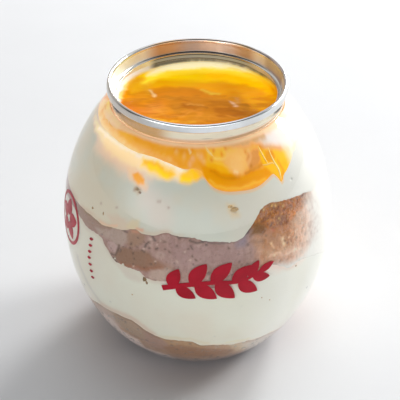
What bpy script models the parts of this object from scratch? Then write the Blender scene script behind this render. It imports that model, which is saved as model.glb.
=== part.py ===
"""Jar cake: layers of sponge, cream and mango in a clear round plastic can.

The can is a ball-shaped bottle of clear plastic, about 95 mm across and 100 mm tall, closed by a seamed
aluminium ring whose panel has been pulled out. Inside it, from the base up, lie a thin sponge, a thick band of
cream, a thick uneven sponge, more cream, and mango puree that fills the shoulder up to just under the ring.

Frame: metres, +Z up, origin at the middle of the base on the surface it stands on, -Y towards the front.
Every layer's edge is a height that changes round the can, so it is a function of the azimuth, which is 0 at the
front (-Y) and grows towards +X.
"""

import math

import bmesh
import bpy

MM = 0.001

# ---- the clear can -----------------------------------------------------------------------------------------
SEGMENTS = 48  # facets round the can
BELLY_R = 47.4  # widest radius
BELLY_Z = 46.5  # height of the widest place
SEMI_UP = 59.2  # the ball is an ellipse in section: its half height above the belly
SEMI_DOWN = 58.4  # and below it
WALL = 0.5  # wall of the ball
NECK_R = 29.2  # outside of the short neck under the seam
NECK_WALL = 0.4
NECK_TOP = 96.75
FOOT_OUT_R = 27.3  # the flat foot ring that the can stands on
FOOT_IN_R = 23.5
CORNER_Z = 2.5  # the corner above the foot runs into the ball here
PUSH_UP = 4.5  # the middle of the base is pushed up this far
BASE_WALL = 0.8

# ---- the seamed ring ---------------------------------------------------------------------------------------
TOP_Z = 100.0
SEAM_R = 30.45
SEAM_BOTTOM = 97.05
CREST_INNER_R = 29.1
CHUCK_FOOT_R = 27.95  # the wall inside the ring leans in to this radius
CHUCK_FOOT_Z = 95.9
GROOVE_R = 27.6  # the groove at its foot
GROOVE_Z = 95.25
LEDGE_R = 26.95  # the torn score line, which is the mouth
LEDGE_Z = 95.5
SHEET = 0.25  # aluminium

# ---- the filling -------------------------------------------------------------------------------------------
GAP = 0.3  # clear of the wall and of the next layer
MANGO_TOP = 92.1


def ball_r(z, shrink=0.0):
    """Radius of the ball at a height, or of the same ball made smaller by shrink all round."""
    semi = (SEMI_UP if z > BELLY_Z else SEMI_DOWN) - shrink
    return (BELLY_R - shrink) * math.sqrt(max(0.0, 1.0 - ((z - BELLY_Z) / semi) ** 2))


def ball_z(r, shrink=0.0, up=True):
    """Height at which the ball has that radius, above or below the belly."""
    semi = (SEMI_UP if up else SEMI_DOWN) - shrink
    rise = semi * math.sqrt(1.0 - (r / (BELLY_R - shrink)) ** 2)
    return BELLY_Z + rise if up else BELLY_Z - rise


def ball_arc(z0, z1, steps, shrink=0.0):
    """Points on the ball's section from one height to another, evenly spaced in angle."""
    def angle(z):
        semi = (SEMI_UP if z > BELLY_Z else SEMI_DOWN) - shrink
        return math.asin((z - BELLY_Z) / semi)

    points = []
    for k in range(steps + 1):
        a = angle(z0) + (angle(z1) - angle(z0)) * k / steps
        semi = (SEMI_UP if a > 0 else SEMI_DOWN) - shrink
        points.append(((BELLY_R - shrink) * math.cos(a), BELLY_Z + semi * math.sin(a)))
    return points


def bezier(p0, p1, p2, steps):
    """A quadratic curve, without its first point."""
    points = []
    for k in range(1, steps + 1):
        t = k / steps
        points.append(tuple((1 - t) ** 2 * a + 2 * t * (1 - t) * b + t * t * c for a, b, c in zip(p0, p1, p2)))
    return points


def corner_start():
    """Where the ball's tangent at CORNER_Z meets the floor: the middle point of the corner's curve."""
    r = ball_r(CORNER_Z)
    slope = (BELLY_R / SEMI_DOWN) ** 2 * (BELLY_Z - CORNER_Z) / r
    return r - CORNER_Z * slope


def base_inside(r):
    """Height of the can's inner floor at a radius: a pushed-up middle that falls to the foot."""
    t = min(1.0, r / FOOT_IN_R)
    return BASE_WALL + PUSH_UP * (1 - t * t) * (1 - 0.25 * t * t)


# ---- the heights of the layers -----------------------------------------------------------------------------
def wave(phi, mean, parts):
    """A height that changes round the can: its mean, then (amount, times round, degrees of the crest)."""
    return mean + sum(a * math.cos(n * (phi - math.radians(c))) for a, n, c in parts)


def bump(phi, centre, width):
    """1 at an azimuth in degrees, falling smoothly to 0 over that many degrees to both sides."""
    d = abs((math.degrees(phi) - centre + 180) % 360 - 180)
    return math.exp(-((d / width) ** 2))


def plateau(phi, start, end, soft):
    """1 between two azimuths in degrees and 0 outside them, with soft ends."""
    middle, half = (start + end) / 2, (end - start) / 2
    d = (math.degrees(phi) - middle + 180) % 360 - 180
    return 0.5 * (math.tanh((d + half) / soft) - math.tanh((d - half) / soft))


def lower_sponge_top(phi):
    """The thin sponge in the base: thickest on the left, and thin at the right of the front."""
    return (
        wave(phi, 17.8, [(3.1, 1, -85)])
        + 7.4 * plateau(phi, -56, -25, 4.5)
        + 3.2 * bump(phi, -10, 12)
        - 3.0 * bump(phi, 57, 11)
    )


def middle_sponge_foot(phi):
    """Where the thick sponge stands on the lower cream: high at the left, sagging at the right."""
    return (
        wave(phi, 49.75, [(4.0, 1, -110)])
        + 5.4 * bump(phi, 30, 10.5)
        + 5.8 * plateau(phi, -100, -35, 4.5)
        - 8.2 * bump(phi, 82, 17)
    )


def middle_sponge_top(phi):
    """The thick sponge's upper edge: a low swell at the front, then a steep rise to a crusted end at the right."""
    return (
        wave(phi, 65.5, [(1.75, 1, 131)])
        + 3.3 * bump(phi, -13.6, 18)
        + 4.6 * plateau(phi, 26, 110, 2.9)
        + 4.0 * bump(phi, 33, 10)
    )


def mango_foot(phi):
    """The mango's lower edge: shallow at the left, hanging deep in a wide lobe at the right of the front."""
    return (
        wave(phi, 86.1, [(1.75, 1, -72)])
        - 6.3 * bump(phi, 28, 32)
        - 0.9 * bump(phi, -4, 4)
        - 2.6 * bump(phi, 44.5, 3.6)
    )


def through(height, middle, lean=2.0):
    """A layer's surface across the whole can: its wall height at the wall, and a calm middle."""
    return lambda phi, share: middle + (height(phi) - middle) * share**lean


LOWER_SPONGE_TOP = through(lower_sponge_top, 18.8)
MIDDLE_SPONGE_FOOT = through(middle_sponge_foot, 50.5)
MIDDLE_SPONGE_TOP = through(middle_sponge_top, 67.0)
MANGO_FOOT = through(mango_foot, 84.5)


def mango_surface(phi, share):
    """The open top of the mango: nearly level, with slow ripples left by the spoon."""
    x, y = share * math.sin(phi), -share * math.cos(phi)
    ripple = 0.22 * math.sin(5.1 * x + 2.2 * y + 0.6) + 0.16 * math.cos(7.3 * y - 3.0 * x)
    return MANGO_TOP + (1 - share**4) * (ripple + 0.15)


# ---- building ----------------------------------------------------------------------------------------------
def material(name, colour, roughness, metallic=0.0, transmission=0.0, ior=1.45):
    made = bpy.data.materials.new(name)
    made.use_nodes = True
    shader = made.node_tree.nodes["Principled BSDF"]
    shader.inputs["Base Color"].default_value = (*colour, 1)
    shader.inputs["Roughness"].default_value = roughness
    shader.inputs["Metallic"].default_value = metallic
    shader.inputs["Transmission Weight"].default_value = transmission
    shader.inputs["IOR"].default_value = ior
    return made


def finish(name, mesh_data, made, sharp=35):
    mesh = bpy.data.meshes.new(name)
    mesh_data.to_mesh(mesh)
    mesh_data.free()
    mesh.materials.append(made)
    mesh.shade_smooth()
    mesh.set_sharp_from_angle(angle=math.radians(sharp))
    obj = bpy.data.objects.new(name, mesh)
    bpy.context.scene.collection.objects.link(obj)
    return obj


def turned(name, profile, made):
    """A closed section of (radius, height) in millimetres, turned once round +Z. Points on the axis close it."""
    bm = bmesh.new()
    verts = [bm.verts.new((0.0, -r * MM, z * MM)) for r, z in profile]
    on_axis = profile[0][0] == 0 and profile[-1][0] == 0
    edges = [bm.edges.new(pair) for pair in zip(verts, verts[1:])]
    if not on_axis:
        edges.append(bm.edges.new((verts[-1], verts[0])))
    bmesh.ops.spin(
        bm, geom=verts + edges, axis=(0, 0, 1), cent=(0, 0, 0), angle=2 * math.pi, steps=SEGMENTS, use_merge=True
    )
    bmesh.ops.remove_doubles(bm, verts=bm.verts, dist=1e-6)
    bmesh.ops.recalc_face_normals(bm, faces=bm.faces)
    return finish(name, bm, made)


def ring_of(bm, radius_at, height_at):
    """One closed loop of vertices round the can. radius_at and height_at take the azimuth."""
    loop = []
    for j in range(SEGMENTS):
        phi = 2 * math.pi * j / SEGMENTS
        r = radius_at(phi) * MM
        loop.append(bm.verts.new((r * math.sin(phi), -r * math.cos(phi), height_at(phi) * MM)))
    return loop


def skin(bm, inner, outer):
    """The band between two loops. Its diagonals always run the same way, so that neighbouring layers match."""
    for j in range(SEGMENTS):
        k = (j + 1) % SEGMENTS
        bm.faces.new((inner[j], outer[k], outer[j]))
        bm.faces.new((inner[j], inner[k], outer[k]))


def layer(name, under, over, made, lift=GAP / 2, drop=GAP / 2, under_rings=3, over_rings=3, sides=3):
    """One layer of the filling: from lift above one surface to drop below the next, and out to the wall.

    A surface is a height for an azimuth and a share of the radius. Both layers that meet at it take their loops
    from its own radius at the wall, so the gap between them is even."""
    bm = bmesh.new()
    loops = {}
    for surface, by, rings in ((under, lift, under_rings), (over, -drop, over_rings)):
        loops[by] = []
        for k in range(1, rings):
            share = (k / rings) ** 0.8
            loops[by].append(
                ring_of(
                    bm,
                    lambda phi: share * filling_wall(surface(phi, 1.0)),
                    lambda phi: surface(phi, share) + by,
                )
            )
    wall = []
    for k in range(sides + 1):
        t = k / sides

        def height(phi):
            return (under(phi, 1.0) + lift) * (1 - t) + (over(phi, 1.0) - drop) * t

        wall.append(ring_of(bm, lambda phi: filling_wall(height(phi)), height))
    for by, edge in ((lift, wall[0]), (-drop, wall[-1])):
        stack = loops[by] + [edge]
        centre = bm.verts.new((0, 0, (under(0.0, 0.0) if by == lift else over(0.0, 0.0)) * MM + by * MM))
        for j in range(SEGMENTS):
            bm.faces.new((centre, stack[0][(j + 1) % SEGMENTS], stack[0][j]))
        for inner, outer in zip(stack, stack[1:]):
            skin(bm, inner, outer)
    for inner, outer in zip(wall, wall[1:]):
        skin(bm, inner, outer)
    bmesh.ops.recalc_face_normals(bm, faces=bm.faces)
    return finish(name, bm, made, sharp=50)


def can_profile():
    """The clear can's section: up its outside, over the neck's lip, down its inside and across its floor."""
    shoulder = ball_z(NECK_R + 0.35)
    outside = [(0.0, PUSH_UP)]
    outside += [(r, base_inside(r) - BASE_WALL) for r in (8.0, 15.0, 20.5)]
    outside += [(FOOT_IN_R, 0.0), (FOOT_OUT_R, 0.0)]
    corner_end = (ball_r(CORNER_Z), CORNER_Z)
    outside += bezier((FOOT_OUT_R, 0.0), (corner_start(), 0.0), corner_end, 3)
    outside += ball_arc(CORNER_Z, shoulder, 11)[1:]
    outside += bezier(outside[-1], (NECK_R, shoulder + 0.35), (NECK_R, shoulder + 0.9), 2)
    outside += [(NECK_R, NECK_TOP)]
    neck_in = NECK_R - NECK_WALL
    inside = [(neck_in, NECK_TOP), (neck_in, ball_z(neck_in, WALL) + 0.6)]
    inside += ball_arc(ball_z(neck_in + 0.35, WALL), CORNER_Z + 1.0, 11, WALL)
    inside += [(FOOT_OUT_R + 0.4, BASE_WALL + 0.25), (FOOT_IN_R, BASE_WALL)]
    inside += [(r, base_inside(r)) for r in (20.5, 15.0, 8.0)]
    return outside + inside + [(0.0, PUSH_UP + BASE_WALL)]


def ring_profile():
    """The aluminium ring's section: the double seam, the chuck wall inside it, the groove and the torn ledge."""
    seam = [
        (SEAM_R - 0.25, SEAM_BOTTOM),
        (SEAM_R, SEAM_BOTTOM + 0.35),
        (SEAM_R, TOP_Z - 0.65),
        (SEAM_R - 0.22, TOP_Z - 0.16),
        (SEAM_R - 0.62, TOP_Z),
        (SEAM_R - 1.05, TOP_Z - 0.18),
        (CREST_INNER_R, TOP_Z - 0.7),
    ]
    down = [
        (CHUCK_FOOT_R, CHUCK_FOOT_Z),
        (GROOVE_R + 0.15, GROOVE_Z + 0.15),
        (GROOVE_R - 0.2, GROOVE_Z + 0.05),
        (LEDGE_R, LEDGE_Z),
    ]
    under = [
        (LEDGE_R, LEDGE_Z - SHEET),
        (GROOVE_R - 0.2, GROOVE_Z + 0.05 - SHEET),
        (GROOVE_R + 0.25, GROOVE_Z - 0.1),
        (CHUCK_FOOT_R + SHEET, CHUCK_FOOT_Z - 0.1),
        (CHUCK_FOOT_R + SHEET + 0.3, SEAM_BOTTOM),
    ]
    return seam + down + under


def filling_wall(z):
    """How far out the filling may reach at a height, clear of the can's inside."""
    neck_in = NECK_R - NECK_WALL
    lift = ball_z(neck_in + 0.35, WALL)
    return ball_r(z, WALL) - GAP if z < lift else neck_in - GAP


def base_of_filling(_, share):
    """The filling's underside: over the pushed-up base, and lifted off the corner of the can."""
    r = share * filling_wall(CORNER_Z + 2.2)
    rise = max(0.0, r - FOOT_OUT_R)
    return base_inside(r) + 0.5 * share + 0.26 * rise**1.6


def build():
    for obj in list(bpy.data.objects):
        bpy.data.objects.remove(obj)
    clear = material("clear_plastic", (0.95, 0.97, 0.97), 0.04, transmission=1.0, ior=1.5)
    metal = material("ring_aluminium", (0.80, 0.80, 0.79), 0.16, metallic=1.0)
    sponge = material("sponge", (0.50, 0.33, 0.22), 0.85)
    sponge_low = material("sponge_base", (0.62, 0.43, 0.28), 0.85)
    cream = material("cream", (0.86, 0.83, 0.74), 0.45)
    mango = material("mango", (0.93, 0.47, 0.03), 0.15)

    turned("can", can_profile(), clear)
    turned("rim_ring", ring_profile(), metal)

    layer("sponge_bottom", base_of_filling, LOWER_SPONGE_TOP, sponge_low, lift=GAP, under_rings=4)
    layer("cream_lower", LOWER_SPONGE_TOP, MIDDLE_SPONGE_FOOT, cream, sides=4)
    layer("sponge_middle", MIDDLE_SPONGE_FOOT, MIDDLE_SPONGE_TOP, sponge)
    layer("cream_upper", MIDDLE_SPONGE_TOP, MANGO_FOOT, cream)
    layer("mango_top", MANGO_FOOT, mango_surface, mango, drop=0.0, over_rings=6)


build()
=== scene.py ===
import math

import bpy
import numpy as np
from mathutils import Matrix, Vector


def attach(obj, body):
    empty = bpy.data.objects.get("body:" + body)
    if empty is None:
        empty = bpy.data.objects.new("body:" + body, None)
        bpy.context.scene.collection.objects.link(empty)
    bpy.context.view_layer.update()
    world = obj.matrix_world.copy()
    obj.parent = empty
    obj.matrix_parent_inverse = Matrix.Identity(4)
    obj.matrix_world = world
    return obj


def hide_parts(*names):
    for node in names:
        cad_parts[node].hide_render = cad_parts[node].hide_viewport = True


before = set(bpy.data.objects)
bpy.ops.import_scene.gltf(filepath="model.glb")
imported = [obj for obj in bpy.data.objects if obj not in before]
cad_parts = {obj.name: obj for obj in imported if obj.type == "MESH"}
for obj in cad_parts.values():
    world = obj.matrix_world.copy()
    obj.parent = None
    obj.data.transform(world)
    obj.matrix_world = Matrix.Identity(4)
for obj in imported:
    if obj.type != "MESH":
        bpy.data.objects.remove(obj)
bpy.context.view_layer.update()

MM = 0.001

# ---- sizes, as in the CAD ----------------------------------------------------------------------------------
BELLY_R, BELLY_Z, SEMI_UP, SEMI_DOWN, WALL = 47.4, 46.5, 59.2, 58.4, 0.5
NECK_R, NECK_IN, NECK_TOP = 29.2, 28.8, 96.75
FOOT_OUT_R, FOOT_IN_R, CORNER_Z = 27.3, 23.5, 2.5
PUSH_UP, BASE_WALL = 4.5, 0.8
SEAM_R, TOP_Z = 30.45, 100.0
MANGO_TOP = 92.15
INTO_WALL = 0.16  # the filling's outer skin lies this far inside the wall's thickness
CREAM_IN = 0.07  # and the cream's a little less, so that the sponge and mango lie over its edges


def ball_r(z, shrink=0.0):
    z = np.asarray(z, float)
    semi = np.where(z > BELLY_Z, SEMI_UP, SEMI_DOWN) - shrink
    return (BELLY_R - shrink) * np.sqrt(np.clip(1 - ((z - BELLY_Z) / semi) ** 2, 0, None))


def inner_wall(z):
    """Radius of the can's inside at a height, with its straight neck and its rounded corner."""
    z = np.asarray(z, float)
    r = ball_r(z, WALL)
    r = np.where((z > BELLY_Z) & (r < NECK_IN), NECK_IN, r)
    t = np.clip((3.5 - z) / 2.5, 0, 1)
    return r - 1.9 * t**2


def base_inside(r):
    t = np.clip(np.asarray(r, float) / FOOT_IN_R, 0, 1)
    return BASE_WALL + PUSH_UP * (1 - t * t) * (1 - 0.25 * t * t)


# ---- noise -------------------------------------------------------------------------------------------------
def scramble(cell, seed):
    """A number from 0 to 1 for each lattice cell, the same every time."""
    n = (cell[..., 0] * 73856093) ^ (cell[..., 1] * 19349663) ^ (cell[..., 2] * 83492791) ^ (seed * 40503 + 977)
    n = n & 0xFFFFFFFF
    n = ((n ^ (n >> 15)) * 2246822519) & 0xFFFFFFFF
    n = ((n ^ (n >> 13)) * 3266489917) & 0xFFFFFFFF
    return (n ^ (n >> 16)) / 4294967295.0


def grain(p, size, seed=0):
    """Soft noise from -1 to 1 with lumps of that size. p holds points in mm, one a row."""
    q = np.asarray(p, float) / size
    cell = np.floor(q).astype(np.int64)
    f = q - cell
    f = f * f * f * (f * (f * 6 - 15) + 10)
    total = np.zeros(len(q))
    for corner in np.ndindex(2, 2, 2):
        c = np.array(corner)
        weight = np.prod(np.where(c == 1, f, 1 - f), axis=-1)
        total += weight * scramble(cell + c, seed)
    return total * 2 - 1


def cloud(p, size, octaves=4, seed=0, keep=0.5):
    total, amount, whole = 0.0, 1.0, 0.0
    for k in range(octaves):
        total = total + amount * grain(p, size / 2**k, seed + 17 * k)
        whole += amount
        amount *= keep
    return total / whole


def pits(p, size, seed=0):
    """Scattered centres about size apart: the distance to the nearest in mm, and that one's own number."""
    q = np.asarray(p, float) / size
    cell = np.floor(q).astype(np.int64)
    nearest, own = np.full(len(q), 9.0), np.zeros(len(q))
    for step in np.ndindex(3, 3, 3):
        c = cell + (np.array(step) - 1)
        centre = c + np.stack([scramble(c, seed + k) for k in (1, 2, 3)], axis=-1)
        d = np.linalg.norm(q - centre, axis=-1)
        closer = d < nearest
        nearest = np.where(closer, d, nearest)
        own = np.where(closer, scramble(c, seed + 4), own)
    return nearest * size, own


def ease(x, low, high):
    t = np.clip((np.asarray(x, float) - low) / (high - low), 0, 1)
    return t * t * (3 - 2 * t)


# ---- places on the wall ------------------------------------------------------------------------------------
def turn_of(phi, centre):
    return (np.asarray(phi, float) - centre + 180) % 360 - 180


def at(phi, r, z):
    a = np.radians(phi)
    return np.stack(np.broadcast_arrays(r * np.sin(a), -r * np.cos(a), z), axis=-1)


def edge(points, phi):
    """A height round the can through (phi, z) points, smooth and closed."""
    pts = sorted(points)
    x = np.array([p[0] for p in pts], float)
    z = np.array([p[1] for p in pts], float)
    x3, z3 = np.concatenate([x - 360, x, x + 360]), np.concatenate([z, z, z])
    h, d = np.diff(x3), np.diff(z3) / np.diff(x3)
    m = np.zeros(len(x3))
    w1, w2 = 2 * h[1:] + h[:-1], h[1:] + 2 * h[:-1]
    same = d[:-1] * d[1:] > 0
    with np.errstate(divide="ignore", invalid="ignore"):
        m[1:-1] = np.where(same, (w1 + w2) / (w1 / d[:-1] + w2 / d[1:]), 0)
    phi = (np.asarray(phi, float) + 180) % 360 - 180
    i = np.clip(np.searchsorted(x3, phi) - 1, 0, len(h) - 1)
    t = (phi - x3[i]) / h[i]
    return (
        z3[i] * (1 + 2 * t) * (1 - t) ** 2
        + m[i] * h[i] * t * (1 - t) ** 2
        + z3[i + 1] * t * t * (3 - 2 * t)
        + m[i + 1] * h[i] * t * t * (t - 1)
    )


# Where each layer meets the next on the wall, read off the front and carried on round the back.
SPONGE_LOW_TOP = [(-180, 17.5), (-130, 19.0), (-95, 21.3), (-75, 22.6), (-60, 24.6), (-50, 27.2), (-44, 27.6), (-37.5, 28.2), (-30.7, 28.2), (-27.4, 27.0),
                  (-24.4, 25.0), (-21.8, 23.8), (-18.2, 22.6), (-14.5, 22.0), (-8.8, 22.3), (-3.1, 22.0), (-0.6, 20.9), (1.5, 19.5), (6.1, 19.5),
                  (10.7, 18.8), (16, 17.9), (23.6, 17.6), (30, 16.6), (37, 16.5), (44, 15.2), (50, 13.9), (58, 13.0), (80, 14.8), (130, 16.2)]
SPONGE_MID_FOOT = [(-180, 51), (-140, 53.6), (-110, 58.2), (-80, 59.6), (-66, 60.3), (-58, 59.4), (-52, 58.4), (-47.5, 58.7), (-43.6, 58.1), (-41.2, 56.4),
                   (-39.3, 55.1), (-37.5, 53.4), (-35.5, 52.3), (-32.6, 51.9), (-24, 51.5), (-21, 49.7), (-18, 49.3), (-12.5, 49.8), (3, 47.7), (17, 48.5),
                   (25, 51.3), (30.5, 52.1), (36, 50.1), (41, 47.9), (47, 48.2), (57.5, 45.5), (72, 39.4), (84, 37.6), (100, 41.5), (130, 46.5)]
SPONGE_MID_TOP = [(-180, 66.6), (-130, 65.4), (-95, 64.6), (-70, 64.4), (-57, 64.2), (-52, 64.3), (-48, 64.1), (-43.9, 63.8), (-40.4, 64.2), (-38, 64.6), (-33, 65.1),
                  (-27, 66.9), (-23, 66.1), (-19, 66.3), (-13, 67.9), (-8, 67.1), (-3.5, 67), (3, 65.9), (9, 65.3), (15.5, 64.7), (19.1, 65.5), (21.1, 66.9),
                  (22.8, 68.1), (25, 69.7), (27.2, 71.6), (28.8, 72.9), (31, 73.7), (34, 74.1), (38.5, 73.5), (44.2, 72.8), (49.8, 71.8), (54, 71.4), (58, 70.4),
                  (62, 69.3), (80, 69.6), (105, 69.8), (118, 68)]
MANGO_FOOT = [(-180, 87.3), (-130, 87.6), (-79, 87.4), (-57, 87.9), (-47, 87.8), (-36, 87.6), (-28, 87.8), (-18, 87.3), (-11, 86.4), (-6.5, 85.9),
              (-2, 86.2), (1.2, 85.6), (3.3, 84.0), (5.2, 82.5), (7.5, 81.1), (11, 80.0), (16, 79.2), (21, 78.9), (26, 78.7), (31, 79.0), (36, 79.9), (40, 80.6), (42, 79.2),
              (43.4, 77.5), (44.6, 77.9), (46, 78.9), (49, 79.7), (54, 81.2), (58, 82.6), (62, 83.7), (67, 84.7), (74, 86), (82, 87), (92, 87.4), (130, 87.0)]


CAMERA_AT = np.array([0.0, -456.0 * math.cos(math.radians(34.45)), 50.0 + 456.0 * math.sin(math.radians(34.45))])
FOCAL, MIDDLE_X, MIDDLE_Y = 1279.0, 197.394, 202.341


def view_ray(x, y):
    """The direction in which the camera sees a pixel of the 400 by 400 frame."""
    tilt = math.radians(34.45)
    ahead, up = np.array([0, math.cos(tilt), -math.sin(tilt)]), np.array([0, math.sin(tilt), math.cos(tilt)])
    return ahead + np.array([1.0, 0, 0]) * (x - MIDDLE_X) / FOCAL - up * (y - MIDDLE_Y) / FOCAL


def on_wall(x, y):
    """Where a pixel falls on the can's near side, as (mm round it, height)."""
    d = view_ray(x, y)
    best = None
    for semi, upper in ((SEMI_UP, True), (SEMI_DOWN, False)):
        k = np.array([1 / BELLY_R, 1 / BELLY_R, 1 / semi])
        o, e = (CAMERA_AT - np.array([0, 0, BELLY_Z])) * k, d * k
        a, b, c = e @ e, 2 * o @ e, o @ o - 1
        root = max(b * b - 4 * a * c, 0.0)
        p = CAMERA_AT + d * (-b - math.sqrt(root)) / (2 * a)
        if (p[2] >= BELLY_Z) == upper:
            best = p
    if best is None or best[2] > 92.0:
        a, b, c = d[0] ** 2 + d[1] ** 2, 2 * (CAMERA_AT[:2] @ d[:2]), CAMERA_AT[:2] @ CAMERA_AT[:2] - NECK_R**2
        best = CAMERA_AT + d * (-b - math.sqrt(max(b * b - 4 * a * c, 0.0))) / (2 * a)
    return math.atan2(best[0], -best[1]) * 44.0, best[2]


def on_top(x, y):
    """Where a pixel falls on the mango's open top."""
    d = view_ray(x, y)
    p = CAMERA_AT + d * (91.1 - CAMERA_AT[2]) / d[2]
    return p[0], p[1]


class Paint:
    """Soft strokes and patches of colour over a surface's points, placed by pixels of the photograph.

    Colours are as they look there, and light says how much light falls on that side."""

    def __init__(self, base, u, v, place, light, wobble=0.0, seed=0):
        self.tint, self.place, self.light = np.array(base), place, light
        flat = np.stack([u, v, np.zeros_like(u)], axis=-1)
        self.u = u + wobble * cloud(flat, 2.4, 2, seed + 501)
        self.v = v + wobble * cloud(flat, 2.4, 2, seed + 503)

    def distance(self, points, reach, closed):
        p = np.array([self.place(x, y) for x, y in points])
        near = np.flatnonzero(
            (self.u > p[:, 0].min() - reach) & (self.u < p[:, 0].max() + reach) & (self.v > p[:, 1].min() - reach) & (self.v < p[:, 1].max() + reach)
        )
        u, v = self.u[near], self.v[near]
        if len(p) == 1:
            return near, np.hypot(u - p[0, 0], v - p[0, 1])
        q = np.roll(p, -1, axis=0)
        if not closed:
            p, q = p[:-1], q[:-1]
        best, inside = np.full(len(near), 1e9), np.zeros(len(near), bool)
        for (a, b), (c, d) in zip(p, q):
            t = np.clip(((u - a) * (c - a) + (v - b) * (d - b)) / max((c - a) ** 2 + (d - b) ** 2, 1e-9), 0, 1)
            best = np.minimum(best, np.hypot(u - a - t * (c - a), v - b - t * (d - b)))
            crosses = (b > v) != (d > v)
            inside ^= crosses & (u < (c - a) * (v - b) / (d - b if d != b else 1e-9) + a)
        return near, np.where(inside & closed, -best, best)

    def lay(self, near, colour, share):
        self.tint[near] = mix(self.tint[near], rgb(*colour) / self.light, share)

    def line(self, colour, share, width, *points):
        near, d = self.distance(points, 3 * width, False)
        self.lay(near, colour, share * np.exp(-((d / width) ** 2)))

    def dots(self, colour, share, width, *points):
        for point in points:
            self.line(colour, share, width, point)

    def patch(self, colour, share, soft, *points):
        near, d = self.distance(points, 2 * soft, True)
        self.lay(near, colour, share * (1 - ease(d, -soft, soft)))


# ---- meshes ------------------------------------------------------------------------------------------------
def rgb(r, g, b):
    """A colour given as it is read on a screen, from 0 to 255, as light."""
    c = np.array([r, g, b], float) / 255
    return np.where(c <= 0.04045, c / 12.92, ((c + 0.055) / 1.055) ** 2.4)


def mix(under, over, share):
    share = np.asarray(share, float)[..., None]
    return under * (1 - share) + over * share


def mesh_piece(name, verts, faces, material, replaces=(), tint=None, extras=None, sharp=None):
    """A piece from points in mm. Faces are rows of 4, or of 3 padded with -1."""
    faces = np.asarray(faces, np.int64)
    mesh = bpy.data.meshes.new(name)
    sizes = np.where(faces[:, 3] < 0, 3, 4)
    loops = faces[faces >= 0]
    mesh.vertices.add(len(verts))
    mesh.vertices.foreach_set("co", (np.asarray(verts) * MM).astype(np.float32).ravel())
    mesh.loops.add(len(loops))
    mesh.loops.foreach_set("vertex_index", loops.astype(np.int32))
    mesh.polygons.add(len(faces))
    mesh.polygons.foreach_set("loop_start", np.concatenate([[0], np.cumsum(sizes)[:-1]]).astype(np.int32))
    mesh.update(calc_edges=True)
    mesh.validate()
    mesh.shade_smooth()
    if sharp:
        mesh.set_sharp_from_angle(angle=math.radians(sharp))
    if tint is not None:
        # tint brighter than the surface can reflect is clipped, and part of the rest becomes glow: painted light
        for key, values in (("tint", np.clip(tint, 0, 0.92)), ("glow", 0.75 * np.clip(tint - 0.92, 0, 0.7))):
            values = np.concatenate([values, np.ones((len(values), 1))], axis=1).astype(np.float32)
            mesh.attributes.new(key, "FLOAT_COLOR", "POINT").data.foreach_set("color", values.ravel())
    for key, values in (extras or {}).items():
        mesh.attributes.new(key, "FLOAT", "POINT").data.foreach_set("value", np.asarray(values, np.float32))
    mesh.materials.append(material)
    obj = bpy.data.objects.new(name, mesh)
    bpy.context.scene.collection.objects.link(obj)
    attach(obj, "root")
    if replaces:
        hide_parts(*replaces)
    return obj


def band_faces(rows, columns, closed_rows=False):
    """Quads between loops of points, each loop closed. Loops run from the bottom up on an outer side."""
    i, j = np.meshgrid(np.arange(rows if closed_rows else rows - 1), np.arange(columns), indexing="ij")
    k, n = (j + 1) % columns, (i + 1) % rows
    return np.stack([i * columns + j, i * columns + k, n * columns + k, n * columns + j], axis=-1).reshape(-1, 4)


def capped(loops):
    """Points and faces of a closed body from loops that run from its underside's middle to its top's middle."""
    loops = np.asarray(loops)
    rows, columns = loops.shape[:2]
    low, high = loops[0].mean(axis=0), loops[-1].mean(axis=0)
    verts = np.concatenate([loops.reshape(-1, 3), [low], [high]])
    j = np.arange(columns)
    k = (j + 1) % columns
    fill = np.full(columns, -1)
    bottom = np.stack([np.full(columns, rows * columns), k, j, fill], axis=-1)
    last = (rows - 1) * columns
    top = np.stack([np.full(columns, rows * columns + 1), last + j, last + k, fill], axis=-1)
    return verts, np.concatenate([band_faces(rows, columns), bottom, top])


def turned(name, profile, columns, material, replaces=(), sharp=40):
    """A closed section of (r, z) turned about the middle. The section runs up its outer side."""
    profile = np.asarray(profile, float)
    phi = np.arange(columns) * 360.0 / columns
    on_axis = profile[0][0] < 1e-6
    rows = profile[1:-1] if on_axis else profile
    loops = np.stack([at(phi, r, z) for r, z in rows])
    if on_axis:
        verts, faces = capped(loops)
        verts[-2], verts[-1] = (0, 0, profile[0][1]), (0, 0, profile[-1][1])
    else:
        verts, faces = loops.reshape(-1, 3), band_faces(len(rows), columns, closed_rows=True)
    return mesh_piece(name, verts, faces, material, replaces, sharp=sharp)


def curve(points, steps=6):
    """A smooth line through points, as a Catmull-Rom curve."""
    p = np.asarray(points, float)
    p = np.concatenate([[2 * p[0] - p[1]], p, [2 * p[-1] - p[-2]]])
    out = []
    for a, b, c, d in zip(p, p[1:], p[2:], p[3:]):
        for t in np.arange(steps) / steps:
            out.append(0.5 * (2 * b + (c - a) * t + (2 * a - 5 * b + 4 * c - d) * t**2 + (3 * b - a - 3 * c + d) * t**3))
    return np.array(out + [p[-2]])


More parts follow.
